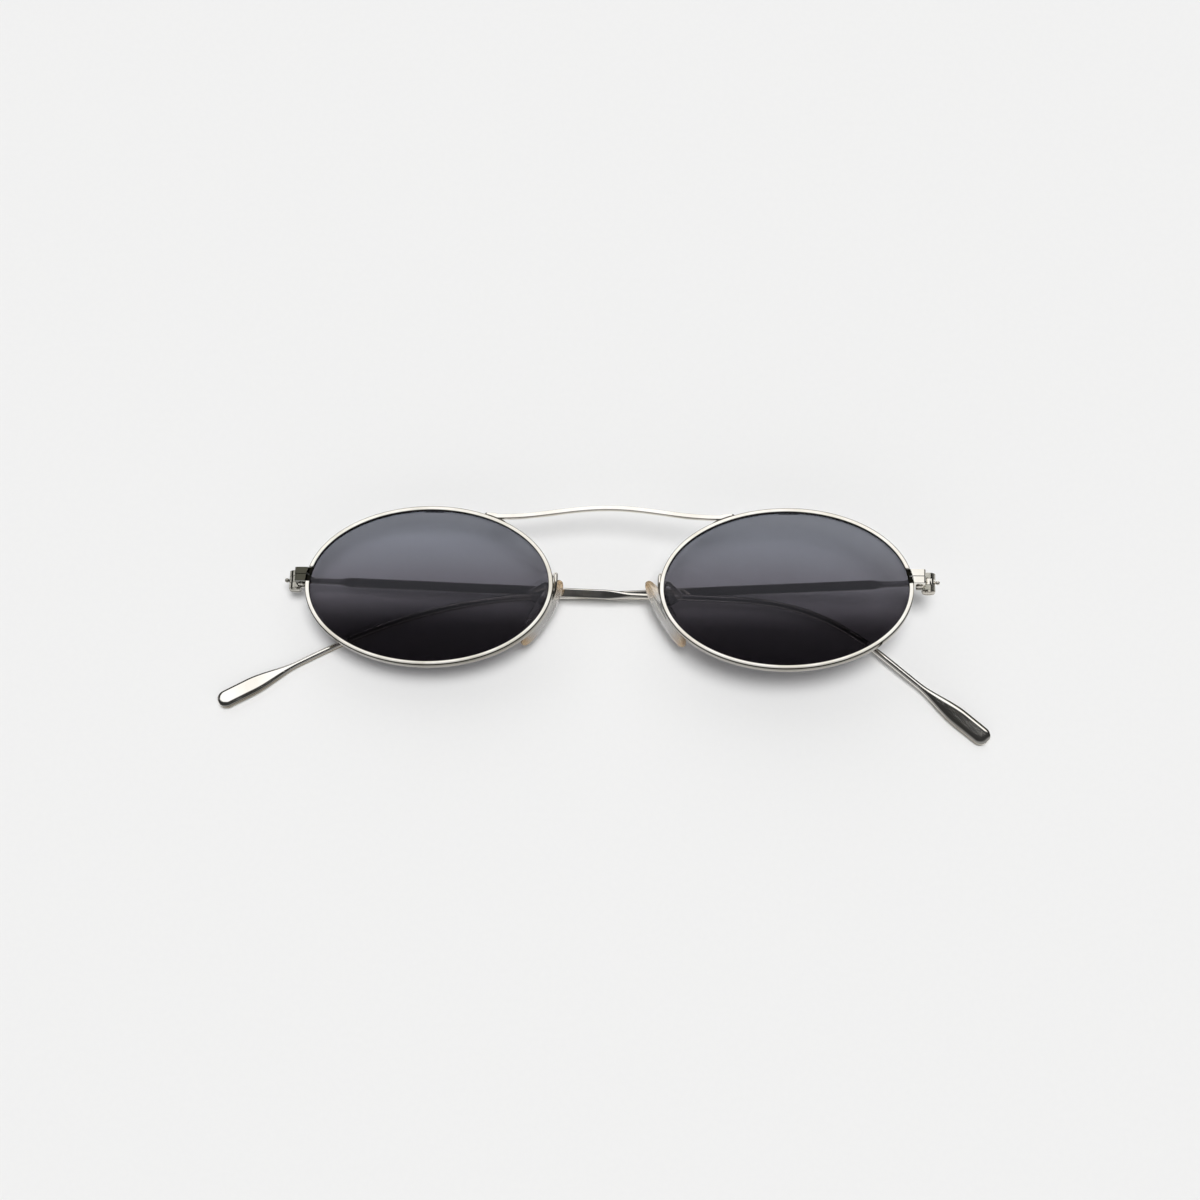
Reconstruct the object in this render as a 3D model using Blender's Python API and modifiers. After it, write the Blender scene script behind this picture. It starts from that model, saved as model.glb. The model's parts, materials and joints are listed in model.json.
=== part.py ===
"""Oval wire-rim sunglasses, folded, lying face up on their folded temples.

The front is modelled flat in its own frame: X across the wearer's view, Y up the lenses, Z out of the
front. An empty holds that frame at the height and roll at which the folded temples carry it on Z = 0.
"""

import math

import bmesh
import bpy
import numpy as np
from mathutils import Matrix, Vector

# Gap between faces that are soldered or seated together, in metres like every other size here
SEAT = 0.00005

# Eyewires and lenses
LENS_OPENING_WIDTH = 0.0482
LENS_OPENING_HEIGHT = 0.0313
LENS_SPACING = 0.07108
RIM_FACE = 0.00085
RIM_DEPTH = 0.0021
RIM_CHAMFER = 0.00018
RIM_SPLIT_GAP = 0.00030
GROOVE_CENTRE = 0.00125
GROOVE_HALF = 0.00050
GROOVE_DEPTH = 0.00035
LENS_EDGE = 0.0012
LENS_CROWN = 0.00055
LENS_PLAY = 0.00005
RIM_TEMPLE_X = LENS_SPACING / 2 + LENS_OPENING_WIDTH / 2 + RIM_FACE
RIM_NOSE_X = LENS_SPACING / 2 - LENS_OPENING_WIDTH / 2 - RIM_FACE
RIM_TOP_Y = LENS_OPENING_HEIGHT / 2 + RIM_FACE

# Bridge bar: its landing is measured from the middle of each lens
BRIDGE_RISE = 0.0019
BRIDGE_SHOULDER_DROP = 0.0020
BRIDGE_LANDING = 0.0105
BRIDGE_FLAT_END = 0.0035
BRIDGE_HEIGHT = 0.00092
BRIDGE_DEPTH = 0.0013
BRIDGE_TAPER = 0.0026
BRIDGE_TIP_SHARE = 0.35
BRIDGE_HALF_SPAN = LENS_SPACING / 2 - BRIDGE_LANDING

# Closing blocks at the outer ends of the eyewires
BLOCK_REACH = 0.00226
BLOCK_BOTTOM_Y = 0.0010
BLOCK_TOP_Y = 0.0038
END_PIECE_SKEW = 0.00027
BLOCK_DEPTH = 0.0034
BLOCK_PROUD = 0.00012
BLOCK_CHAMFER = 0.00055
BLOCK_SPLIT = 0.00010
BLOCK_OUTER_X = RIM_TEMPLE_X + BLOCK_REACH
NOTCH_DEPTH = 0.0006
LOCK_SCREW_RADIUS = 0.00042
LOCK_HEAD_RADIUS = 0.00075
LOCK_HEAD_HEIGHT = 0.00035
LOCK_SCREW_INSET = 0.00115
LOCK_SCREW_DEPTH = 0.0022
LOCK_SLOT = 0.00022
LOCK_SCREW_X = BLOCK_OUTER_X - LOCK_SCREW_INSET

# Hinges
HINGE_OUTSET = 0.00060
BARREL_RADIUS = 0.00138
BARREL_LENGTH = 0.0036
BARREL_SETBACK = 0.00022
MIDDLE_KNUCKLE = 0.00125
KNUCKLE_GAP = 0.00008
BORE_RADIUS = 0.00050
PIN_CLEARANCE = 0.00005
PIN_HEAD_RADIUS = 0.00130
PIN_HEAD_HEIGHT = 0.00050
PIN_SLOT = 0.00035
LEAF_THICKNESS = 0.0006
LEAF_LENGTH = 0.0019
TONGUE_LENGTH = 0.0030
TONGUE_HEIGHT = 0.00115
TONGUE_THICKNESS = 0.00090
BEAD_RADIUS = 0.00045
HINGE_X = BLOCK_OUTER_X + HINGE_OUTSET
HINGE_Y = (BLOCK_BOTTOM_Y + BLOCK_TOP_Y) / 2
HINGE_DEPTH = BLOCK_DEPTH + BARREL_SETBACK + BARREL_RADIUS

# Every screw: the cylindrical share of its domed head, and the slot's share of the head
HEAD_RIM_SHARE = 0.35
SLOT_SHARE = 0.45

# Temples, lengths measured along the temple from the hinge axis: each folded temple leaves its hinge with
# its fall towards the table, and bows towards the front (or away, where the angle is negative) further on
NECK_END = 0.0085
BAR_START = 0.0115
BAR_END = 0.0620
WIRE_START = 0.0680
PADDLE_START = 0.1295
PADDLE_FULL = 0.1405
TEMPLE_LENGTH = 0.1475
NECK_HALF_HEIGHT = 0.00055
NECK_HALF_THICKNESS = 0.00045
BAR_HALF_HEIGHT = 0.00095
BAR_HALF_THICKNESS = 0.00045
WIRE_RADIUS = 0.00065
PADDLE_HALF_WIDTH = 0.0019
PADDLE_HALF_THICKNESS = 0.00080
BOW_HALF_LENGTH = 0.0040
LEFT_FALL = math.radians(0.37)
LEFT_RUN_SLOPE = math.radians(-1.18)
LEFT_BOW_PLACE = 0.0900
LEFT_BOW_ANGLE = math.radians(-4.6)
LEFT_BEND_START = 0.0865
LEFT_BEND_LENGTH = 0.0373
LEFT_BEND_ANGLE = math.radians(-36.8)
RIGHT_FALL = math.radians(10.54)
RIGHT_RUN_SLOPE = math.radians(-0.72)
RIGHT_BOW_PLACE = 0.0632
RIGHT_BOW_ANGLE = RIGHT_FALL
RIGHT_BEND_START = 0.0626
RIGHT_BEND_LENGTH = 0.0719
RIGHT_BEND_ANGLE = math.radians(-28.3)

# Roundness of a section's corners as a superellipse power: 2 is an ellipse, and a flat bar is higher
BAR_POWER = 5.0
WIRE_POWER = 2.0
PADDLE_POWER = 2.4

# Nose pads, their boxes and arms: a pad's inset is measured from the eyewire's nose side
PAD_LENGTH = 0.0150
PAD_WIDTH = 0.0050
PAD_THICKNESS = 0.0021
PAD_FLATNESS = 0.6
PAD_INSET = 0.0018
PAD_Y = -0.0039
PAD_DEPTH = 0.0058
PAD_SHIFT = -0.0009
PAD_TILT = math.radians(31.0)
PAD_SPLAY = math.radians(27.0)
PAD_RAKE = math.radians(12.0)
PAD_LUG_RISE = 0.0018
LUG_THICKNESS = 0.0008
LUG_WIDTH = 0.0015
LUG_REACH = 0.0019
LUG_AXIS = 0.0011
CHEEK_THICKNESS = 0.0004
BOX_HALF_LENGTH = 0.0010
BOX_FLOOR = 0.0004
BOX_PLAY = 0.00010
BOX_LIFT = 0.00035
PAD_SCREW_RADIUS = 0.00030
PAD_HEAD_RADIUS = 0.00055
PAD_HEAD_HEIGHT = 0.00025
PAD_SLOT = 0.00018
ARM_RADIUS = 0.00040
ARM_FOOT_Y = -0.0022
ARM_TOP_Y = 0.0034
ARM_TURN = 0.0011

# Mesh counts
RIM_STEPS = 80
ROUND_SIDES = 20
WIRE_SIDES = 12
BEAD_SIDES = 14
PAD_SIDES = 24
LENS_STEPS = 60
LENS_RINGS = 4
DOME_RINGS = 5
TEMPLE_STEPS = 64
TIP_STEPS = 5
TIP_ARC = math.radians(80.0)
ROUTE_STEPS = 2401
BRIDGE_STEPS = 36
ARM_SPAN_STEPS = 5
SHARP_EDGE = math.radians(35.0)

PARTS = "sunglasses"
CUTTERS = "sunglasses_cutters"


def clear_scene():
    for obj in list(bpy.data.objects):
        bpy.data.objects.remove(obj, do_unlink=True)


def new_collection(name):
    collection = bpy.data.collections.new(name)
    bpy.context.scene.collection.children.link(collection)
    return collection


def make_material(name, colour, roughness, metallic, transmission=0.0):
    """A Principled material for one kind of surface."""
    material = bpy.data.materials.new(name)
    material.use_nodes = True
    shader = material.node_tree.nodes["Principled BSDF"]
    shader.inputs["Base Color"].default_value = (*colour, 1.0)
    shader.inputs["Roughness"].default_value = roughness
    shader.inputs["Metallic"].default_value = metallic
    shader.inputs["Transmission Weight"].default_value = transmission
    material.diffuse_color = (*colour, 1.0)
    return material


def smooth_step(t):
    """0 below t = 0, 1 above t = 1, with level ends."""
    t = np.clip(t, 0.0, 1.0)
    return t * t * (3.0 - 2.0 * t)


def rim_edge_x(y, offset):
    """Distance from the middle of the front to the outer side of an eyewire, at height y."""
    half_width = LENS_OPENING_WIDTH / 2 + offset
    half_height = LENS_OPENING_HEIGHT / 2 + offset
    return LENS_SPACING / 2 + half_width * math.sqrt(1.0 - (y / half_height) ** 2)


def rim_top_y(x, offset):
    """Height of the top of an eyewire's outer side, at distance x from the middle of the front."""
    half_width = LENS_OPENING_WIDTH / 2 + offset
    half_height = LENS_OPENING_HEIGHT / 2 + offset
    share = np.clip((x - LENS_SPACING / 2) / half_width, -1.0, 1.0)
    return half_height * np.sqrt(1.0 - share ** 2)


def place(name, mesh, parent, collection, material=None):
    obj = bpy.data.objects.new(name, mesh)
    collection.objects.link(obj)
    obj.parent = parent
    if material:
        mesh.materials.clear()
        mesh.materials.append(material)
        mesh.shade_smooth()
        mesh.set_sharp_from_angle(angle=SHARP_EDGE)
    else:
        obj.hide_render = True
        obj.display_type = "WIRE"
    return obj


def from_bmesh(name, bm, side):
    """Turns a bmesh made for the right side into a mesh for the given side (+1 right, -1 left)."""
    if side < 0:
        bmesh.ops.scale(bm, vec=(-1.0, 1.0, 1.0), verts=bm.verts)
        bmesh.ops.reverse_faces(bm, faces=bm.faces)
    mesh = bpy.data.meshes.new(name)
    bm.to_mesh(mesh)
    bm.free()
    return mesh


def empty(name, parent, location=(0.0, 0.0, 0.0), rotation=(0.0, 0.0, 0.0)):
    obj = bpy.data.objects.new(name, None)
    parts.objects.link(obj)
    obj.parent = parent
    obj.location = location
    obj.rotation_euler = rotation
    obj.empty_display_size = BARREL_LENGTH
    return obj


def box_bmesh(low, high):
    """A box between two corners."""
    low = Vector(low)
    high = Vector(high)
    bm = bmesh.new()
    bmesh.ops.create_cube(bm, size=1.0)
    bmesh.ops.scale(bm, vec=high - low, verts=bm.verts)
    bmesh.ops.translate(bm, vec=(low + high) / 2, verts=bm.verts)
    return bm


def cylinder_bmesh(radius, start, end):
    """A round bar from start to end."""
    start = Vector(start)
    end = Vector(end)
    axis = end - start
    bm = bmesh.new()
    bmesh.ops.create_cone(
        bm,
        cap_ends=True,
        segments=ROUND_SIDES,
        radius1=radius,
        radius2=radius,
        depth=axis.length,
    )
    turn = Vector((0.0, 0.0, 1.0)).rotation_difference(axis.normalized()).to_matrix()
    bmesh.ops.rotate(bm, cent=(0.0, 0.0, 0.0), matrix=turn, verts=bm.verts)
    bmesh.ops.translate(bm, vec=(start + end) / 2, verts=bm.verts)
    return bm


def boolean(target, tool_mesh, operation, parent):
    """Cuts or joins target with tool_mesh, kept as a hidden object under the same parent."""
    tool = place(f"{target.name}_{operation.lower()}_{len(target.modifiers)}", tool_mesh, parent, cutters)
    modifier = target.modifiers.new(operation.title(), "BOOLEAN")
    modifier.operation = operation
    modifier.solver = "EXACT"
    modifier.object = tool
    return tool


def turned_mesh(name, profile, steps):
    """A solid of revolution about Z from (radius, z) points, listed from the top down the outer side."""
    mesh = bpy.data.meshes.new(name)
    points = [(radius, 0.0, z) for radius, z in profile]
    mesh.from_pydata(points, [(i, i + 1) for i in range(len(points) - 1)], [])
    obj = bpy.data.objects.new(name, mesh)
    cutters.objects.link(obj)
    screw = obj.modifiers.new("Screw", "SCREW")
    screw.axis = "Z"
    screw.steps = steps
    screw.render_steps = steps
    screw.use_merge_vertices = True
    screw.merge_threshold = 0.000001
    return evaluated_mesh(obj)


def evaluated_mesh(obj):
    """The evaluated mesh of a helper object, welded, with the helper removed."""
    bpy.context.view_layer.update()
    depsgraph = bpy.context.evaluated_depsgraph_get()
    mesh = bpy.data.meshes.new_from_object(obj.evaluated_get(depsgraph))
    bpy.data.objects.remove(obj, do_unlink=True)
    bm = bmesh.new()
    bm.from_mesh(mesh)
    bmesh.ops.remove_doubles(bm, verts=bm.verts, dist=0.000001)
    bmesh.ops.recalc_face_normals(bm, faces=bm.faces)
    bm.to_mesh(mesh)
    bm.free()
    return mesh


def path_curve(name, points, radius=0.0, section=None):
    """A wire along points, round with a radius or with a closed (x, y) section."""
    curve = bpy.data.curves.new(name, "CURVE")
    curve.dimensions = "3D"
    curve.twist_mode = "Z_UP"
    curve.use_fill_caps = True
    spline = curve.splines.new("POLY")
    spline.points.add(len(points) - 1)
    for target, point in zip(spline.points, points):
        target.co = (*point, 1.0)
    obj = bpy.data.objects.new(name, curve)
    cutters.objects.link(obj)
    if section is None:
        curve.bevel_depth = radius
        curve.bevel_resolution = 2
        return evaluated_mesh(obj)
    outline = bpy.data.curves.new(f"{name}_section", "CURVE")
    outline.dimensions = "2D"
    loop = outline.splines.new("POLY")
    loop.points.add(len(section) - 1)
    for target, point in zip(loop.points, section):
        target.co = (*point, 0.0, 1.0)
    loop.use_cyclic_u = True
    profile = bpy.data.objects.new(f"{name}_section", outline)
    cutters.objects.link(profile)
    curve.bevel_mode = "OBJECT"
    curve.bevel_object = profile
    mesh = evaluated_mesh(obj)
    bpy.data.objects.remove(profile, do_unlink=True)
    return mesh


def loft_mesh(name, rings):
    """A closed skin over rings of points: an array of rings by points by 3, with a flat cap at each end."""
    count, sides, _ = rings.shape
    ring = np.arange(count - 1)[:, None] * sides
    here = np.arange(sides)[None, :]
    there = (here + 1) % sides
    quads = np.stack([ring + here, ring + there, ring + sides + there, ring + sides + here], axis=-1)
    faces = quads.reshape(-1, 4).tolist()
    faces.append(list(range(sides - 1, -1, -1)))
    faces.append(list(range((count - 1) * sides, count * sides)))
    mesh = bpy.data.meshes.new(name)
    mesh.from_pydata(rings.reshape(-1, 3).tolist(), [], faces)
    bm = bmesh.new()
    bm.from_mesh(mesh)
    bmesh.ops.recalc_face_normals(bm, faces=bm.faces)
    bm.to_mesh(mesh)
    bm.free()
    return mesh


def mirrored(mesh, side):
    if side < 0:
        mesh.transform(Matrix.Diagonal((-1.0, 1.0, 1.0, 1.0)))
        mesh.flip_normals()
    return mesh


def block_low(side):
    """Bottom of the closing block: the used frame is a little out of true, so the two ends differ."""
    return BLOCK_BOTTOM_Y + side * END_PIECE_SKEW


def block_high(side):
    return BLOCK_TOP_Y + side * END_PIECE_SKEW


def block_split(side):
    return (block_low(side) + block_high(side)) / 2


def hinge_height(side):
    return HINGE_Y + side * END_PIECE_SKEW


def barrel_ends(side):
    return hinge_height(side) - BARREL_LENGTH / 2, hinge_height(side) + BARREL_LENGTH / 2


def rim_section():
    """Cross-section of an eyewire: x outwards from the opening, y along Z, with a V groove for the lens."""
    back = -RIM_DEPTH
    return [
        (RIM_CHAMFER / 2, 0.0),
        (RIM_FACE - RIM_CHAMFER, 0.0),
        (RIM_FACE, -RIM_CHAMFER),
        (RIM_FACE, back + RIM_CHAMFER),
        (RIM_FACE - RIM_CHAMFER, back),
        (RIM_CHAMFER / 2, back),
        (0.0, back + RIM_CHAMFER / 2),
        (0.0, -GROOVE_CENTRE - GROOVE_HALF),
        (GROOVE_DEPTH, -GROOVE_CENTRE),
        (0.0, -GROOVE_CENTRE + GROOVE_HALF),
        (0.0, -RIM_CHAMFER / 2),
    ]


def make_rim(side, label):
    """Grooved wire bent round the lens, open between its closing blocks and filed down beside them."""
    half_width = LENS_OPENING_WIDTH / 2
    half_height = LENS_OPENING_HEIGHT / 2
    start = math.asin(block_split(side) / half_height)
    half_gap = RIM_SPLIT_GAP / 2 / half_height
    angles = np.linspace(start + half_gap, start + 2 * math.pi - half_gap, RIM_STEPS)
    path = np.stack(
        [LENS_SPACING / 2 + half_width * np.cos(angles), half_height * np.sin(angles), np.zeros(RIM_STEPS)],
        axis=-1,
    )
    mesh = mirrored(path_curve(f"{label}_rim_wire", path.tolist(), section=rim_section()), side)
    rim = place(f"{label}_rim", mesh, front, parts, silver)
    notch_in = rim_edge_x(block_high(side), 0.0) - RIM_FACE
    notch = box_bmesh(
        (notch_in, block_low(side), -NOTCH_DEPTH),
        (BLOCK_OUTER_X, block_high(side), RIM_FACE),
    )
    boolean(rim, from_bmesh(f"{label}_rim_notch", notch, side), "DIFFERENCE", front)
    return rim


def make_lens(side, label):
    """Dark oval lens, slightly domed, with a V edge that lies in the eyewire's groove."""
    face = LENS_OPENING_WIDTH / 2 - LENS_PLAY
    half_edge = LENS_EDGE / 2
    shoulder = GROOVE_HALF - 2 * LENS_PLAY
    shares = np.linspace(0.0, 1.0, LENS_RINGS)
    front_side = [(face * t, half_edge + LENS_CROWN * (1.0 - t * t)) for t in shares]
    back_side = [(face * t, -half_edge + LENS_CROWN * (1.0 - t * t)) for t in shares[::-1]]
    edge = [(face, shoulder), (face + GROOVE_DEPTH - LENS_PLAY, 0.0), (face, -shoulder)]
    mesh = turned_mesh(f"{label}_lens_turned", front_side + edge + back_side, LENS_STEPS)
    squash = (LENS_OPENING_HEIGHT / 2 - LENS_PLAY) / face
    mesh.transform(Matrix.Diagonal((1.0, squash, 1.0, 1.0)))
    mesh.transform(Matrix.Translation((side * LENS_SPACING / 2, 0.0, -GROOVE_CENTRE)))
    return place(f"{label}_lens", mesh, front, parts, smoke)


def rounded_ring(centres, along_height, along_thickness, half_height, half_thickness, sides, power):
    """Rings of a rounded-rectangle section (a superellipse) about each centre, as one array."""
    angle = np.linspace(0.0, 2 * math.pi, sides, endpoint=False) + math.pi / sides
    cosine = np.cos(angle)[None, :]
    sine = np.sin(angle)[None, :]
    exponent = 2.0 / power[:, None]
    across = np.sign(cosine) * np.abs(cosine) ** exponent * half_height[:, None]
    through = np.sign(sine) * np.abs(sine) ** exponent * half_thickness[:, None]
    rings = centres[:, None, :] + across[:, :, None] * along_height[:, None, :]
    return rings + through[:, :, None] * along_thickness[:, None, :]


def bridge_height(x):
    """Half height of the bridge bar, tapered over its last stretch at each end."""
    taper = smooth_step((BRIDGE_HALF_SPAN - np.abs(x)) / BRIDGE_TAPER)
    return BRIDGE_HEIGHT / 2 * (BRIDGE_TIP_SHARE + (1.0 - BRIDGE_TIP_SHARE) * taper)


def make_bridge():
    """One flat bar arched across the nose, its tapered ends soldered on top of the eyewires."""
    x = np.linspace(-BRIDGE_HALF_SPAN, BRIDGE_HALF_SPAN, BRIDGE_STEPS)
    half_height = bridge_height(x)
    arch_half = BRIDGE_HALF_SPAN - BRIDGE_FLAT_END
    arch = 0.5 + 0.5 * np.cos(np.pi * np.minimum(np.abs(x), arch_half) / arch_half)
    free = RIM_TOP_Y - BRIDGE_SHOULDER_DROP + BRIDGE_RISE * arch
    on_rim = rim_top_y(np.abs(x), RIM_FACE + SEAT) + half_height
    y = np.maximum(free, on_rim)
    centres = np.stack([x, y, np.full_like(x, -BRIDGE_DEPTH / 2)], axis=-1)
    slope = np.gradient(y, x)
    up = np.stack([-slope, np.ones_like(x), np.zeros_like(x)], axis=-1)
    up /= np.linalg.norm(up, axis=1, keepdims=True)
    out = np.tile([0.0, 0.0, 1.0], (BRIDGE_STEPS, 1))
    rings = rounded_ring(
        centres,
        up,
        out,
        half_height,
        np.full_like(x, BRIDGE_DEPTH / 2),
        WIRE_SIDES,
        np.full_like(x, BAR_POWER),
    )
    return place("bridge_bar", loft_mesh("bridge_bar", rings), front, parts, silver)


def make_block_half(side, label, which, low_y, high_y):
    """Half of the block that closes the eyewire: slanted inner side on the wire, chamfered outer side."""
    bm = bmesh.new()
    bmesh.ops.create_cube(bm, size=1.0)
    for vert in bm.verts:
        y = high_y if vert.co.y > 0 else low_y
        x = BLOCK_OUTER_X if vert.co.x > 0 else rim_edge_x(y, RIM_FACE + SEAT)
        z = BLOCK_PROUD if vert.co.z > 0 else -BLOCK_DEPTH
        vert.co = (x, y, z)
    outer_front = [
        edge for edge in bm.edges
        if all(v.co.x > BLOCK_OUTER_X - SEAT and v.co.z > 0 for v in edge.verts)
    ]
    bmesh.ops.bevel(bm, geom=outer_front, offset=BLOCK_CHAMFER, segments=3, affect="EDGES", profile=0.5)
    name = f"{label}_{which}_block"
    block = place(name, from_bmesh(name, bm, side), front, parts, silver)
    hole = cylinder_bmesh(
        LOCK_SCREW_RADIUS + PIN_CLEARANCE,
        (LOCK_SCREW_X, low_y - RIM_FACE, -LOCK_SCREW_DEPTH),
        (LOCK_SCREW_X, block_high(side) - RIM_FACE, -LOCK_SCREW_DEPTH),
    )
    boolean(block, from_bmesh(f"{name}_hole", hole, side), "DIFFERENCE", front)
    return block


def screw_profile(shaft_radius, shaft_length, head_radius, head_height):
    """Domed head above Z = 0 and a shaft below it, as (radius, z) points from the top down."""
    dome = [
        (head_radius * math.sin(t), head_height * (HEAD_RIM_SHARE + (1.0 - HEAD_RIM_SHARE) * math.cos(t)))
        for t in np.linspace(0.0, math.pi / 2, DOME_RINGS)
    ]
    return dome + [(head_radius, 0.0), (shaft_radius, 0.0), (shaft_radius, -shaft_length), (0.0, -shaft_length)]


def make_screw(name, parent, matrix, shaft_radius, shaft_length, head_radius, head_height, side, slot):
    """A turned screw with a slotted domed head, laid along its own place by matrix."""
    profile = screw_profile(shaft_radius, shaft_length, head_radius, head_height)
    mesh = turned_mesh(f"{name}_turned", profile, ROUND_SIDES)
    mesh.transform(matrix)
    screw = place(name, mirrored(mesh, side), parent, parts, screw_steel)
    groove = box_bmesh(
        (-head_radius - slot, -slot / 2, head_height * (1.0 - SLOT_SHARE)),
        (head_radius + slot, slot / 2, head_height + slot),
    )
    bmesh.ops.transform(groove, matrix=matrix, verts=groove.verts)
    boolean(screw, from_bmesh(f"{name}_slot", groove, side), "DIFFERENCE", parent)
    return screw


def make_lock_screw(side, label):
    """Screw that draws the two block halves together, driven in from below."""
    reach = block_high(side) - RIM_FACE - block_low(side) - 2 * SEAT
    down = Matrix.Translation((LOCK_SCREW_X, block_low(side) - SEAT, -LOCK_SCREW_DEPTH))
    turn = Matrix.Rotation(math.radians(90.0), 4, "X")
    return make_screw(
        f"{label}_lock_screw",
        front,
        down @ turn,
        LOCK_SCREW_RADIUS,
        reach,
        LOCK_HEAD_RADIUS,
        LOCK_HEAD_HEIGHT,
        side,
        LOCK_SLOT,
    )


def make_front_hinge(side, label):
    """Front half of the hinge: a leaf behind the closing block with an upper and a lower knuckle."""
    leaf_front = -BLOCK_DEPTH - SEAT
    leaf_in = BLOCK_OUTER_X - LEAF_LENGTH
    low_y, high_y = barrel_ends(side)
    open_low = hinge_height(side) - MIDDLE_KNUCKLE / 2 - KNUCKLE_GAP
    open_high = hinge_height(side) + MIDDLE_KNUCKLE / 2 + KNUCKLE_GAP
    leaf = box_bmesh(
        (leaf_in, low_y + SEAT, leaf_front - LEAF_THICKNESS),
        (HINGE_X, high_y - SEAT, leaf_front),
    )
    name = f"{label}_front_hinge"
    hinge = place(name, from_bmesh(name, leaf, side), front, parts, silver)
    barrel = cylinder_bmesh(BARREL_RADIUS, (HINGE_X, low_y, -HINGE_DEPTH), (HINGE_X, high_y, -HINGE_DEPTH))
    boolean(hinge, from_bmesh(f"{name}_barrel", barrel, side), "UNION", front)
    swing = BARREL_RADIUS + BEAD_RADIUS * 2 + 4 * SEAT
    opening = box_bmesh(
        (BLOCK_OUTER_X - 4 * SEAT, open_low, -HINGE_DEPTH - swing),
        (HINGE_X + swing, open_high, leaf_front + SEAT),
    )
    boolean(hinge, from_bmesh(f"{name}_opening", opening, side), "DIFFERENCE", front)
    relief = cylinder_bmesh(
        BARREL_RADIUS + KNUCKLE_GAP,
        (HINGE_X, open_low, -HINGE_DEPTH),
        (HINGE_X, open_high, -HINGE_DEPTH),
    )
    boolean(hinge, from_bmesh(f"{name}_relief", relief, side), "DIFFERENCE", front)
    bore = cylinder_bmesh(
        BORE_RADIUS,
        (HINGE_X, low_y - RIM_FACE, -HINGE_DEPTH),
        (HINGE_X, high_y + RIM_FACE, -HINGE_DEPTH),
    )
    boolean(hinge, from_bmesh(f"{name}_bore", bore, side), "DIFFERENCE", front)
    return hinge


def make_hinge_screw(side, label):
    """Hinge screw with a broad domed head under the barrel."""
    low_y, _ = barrel_ends(side)
    down = Matrix.Translation((HINGE_X, low_y - SEAT, -HINGE_DEPTH))
    turn = Matrix.Rotation(math.radians(90.0), 4, "X")
    return make_screw(
        f"{label}_hinge_screw",
        front,
        down @ turn,
        BORE_RADIUS - PIN_CLEARANCE,
        BARREL_LENGTH,
        PIN_HEAD_RADIUS,
        PIN_HEAD_HEIGHT,
        side,
        PIN_SLOT,
    )


def make_temple_hinge(side, label, pivot):
    """Middle knuckle and tongue that the temple is soldered to, in the temple's own folded frame."""
    name = f"{label}_temple_hinge"
    half = MIDDLE_KNUCKLE / 2
    knuckle = cylinder_bmesh(BARREL_RADIUS, (0.0, -half, 0.0), (0.0, half, 0.0))
    hinge = place(name, from_bmesh(name, knuckle, side), pivot, parts, silver)
    tongue = box_bmesh(
        (-TONGUE_LENGTH, -TONGUE_HEIGHT / 2, -TONGUE_THICKNESS / 2),
        (-BORE_RADIUS - PIN_CLEARANCE, TONGUE_HEIGHT / 2, TONGUE_THICKNESS / 2),
    )
    boolean(hinge, from_bmesh(f"{name}_tongue", tongue, side), "UNION", pivot)
    bore = cylinder_bmesh(BORE_RADIUS, (0.0, -BARREL_LENGTH, 0.0), (0.0, BARREL_LENGTH, 0.0))
    boolean(hinge, from_bmesh(f"{name}_bore", bore, side), "DIFFERENCE", pivot)
    return hinge


def make_bead(side, label, pivot):
    """Small ball soldered to the outer side of the temple's knuckle."""
    bm = bmesh.new()
    bmesh.ops.create_uvsphere(bm, u_segments=BEAD_SIDES, v_segments=BEAD_SIDES // 2, radius=BEAD_RADIUS)
    bmesh.ops.translate(bm, vec=(BARREL_RADIUS + SEAT + BEAD_RADIUS, 0.0, 0.0), verts=bm.verts)
    name = f"{label}_temple_bead"
    return place(name, from_bmesh(name, bm, side), pivot, parts, silver)


def temple_path(run_slope, bow_place, bow_angle, bend_start, bend_length, bend_angle):
    """Centreline of a temple that runs from the hinge along -X.

    heading is the angle in the temple's plane: a slight fall, then the ear bend. bow is the turn
    towards the front at one place. Both are smooth steps of the distance along the temple, summed into
    positions.
    """
    fine = np.linspace(0.0, TEMPLE_LENGTH, ROUTE_STEPS)
    heading = run_slope + bend_angle * smooth_step((fine - bend_start) / bend_length)
    bow = bow_angle * smooth_step((fine - bow_place + BOW_HALF_LENGTH) / (2 * BOW_HALF_LENGTH))
    tangent = np.stack([-np.cos(heading) * np.cos(bow), np.sin(heading), np.cos(heading) * np.sin(bow)], axis=-1)
    steps = (tangent[1:] + tangent[:-1]) / 2 * (fine[1] - fine[0])
    position = np.concatenate([np.zeros((1, 3)), np.cumsum(steps, axis=0)])
    inward = np.stack([np.sin(bow), np.zeros_like(bow), np.cos(bow)], axis=-1)
    return fine, position, tangent, inward


def blend(distance, stops):
    """Value along the temple from (distance, value) stops, level at each stop."""
    result = np.full_like(distance, stops[0][1])
    for (start, before), (end, after) in zip(stops[:-1], stops[1:]):
        result += (after - before) * smooth_step((distance - start) / (end - start))
    return result


def temple_stations():
    """Distances of the temple's sections: even along its length, and close together at the rounded tip."""
    body = np.linspace(TONGUE_LENGTH + SEAT, TEMPLE_LENGTH - PADDLE_HALF_WIDTH, TEMPLE_STEPS)
    turn = np.linspace(0.0, TIP_ARC, TIP_STEPS + 1)[1:]
    tip = TEMPLE_LENGTH - PADDLE_HALF_WIDTH * (1.0 - np.sin(turn))
    return np.concatenate([body, tip])


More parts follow.
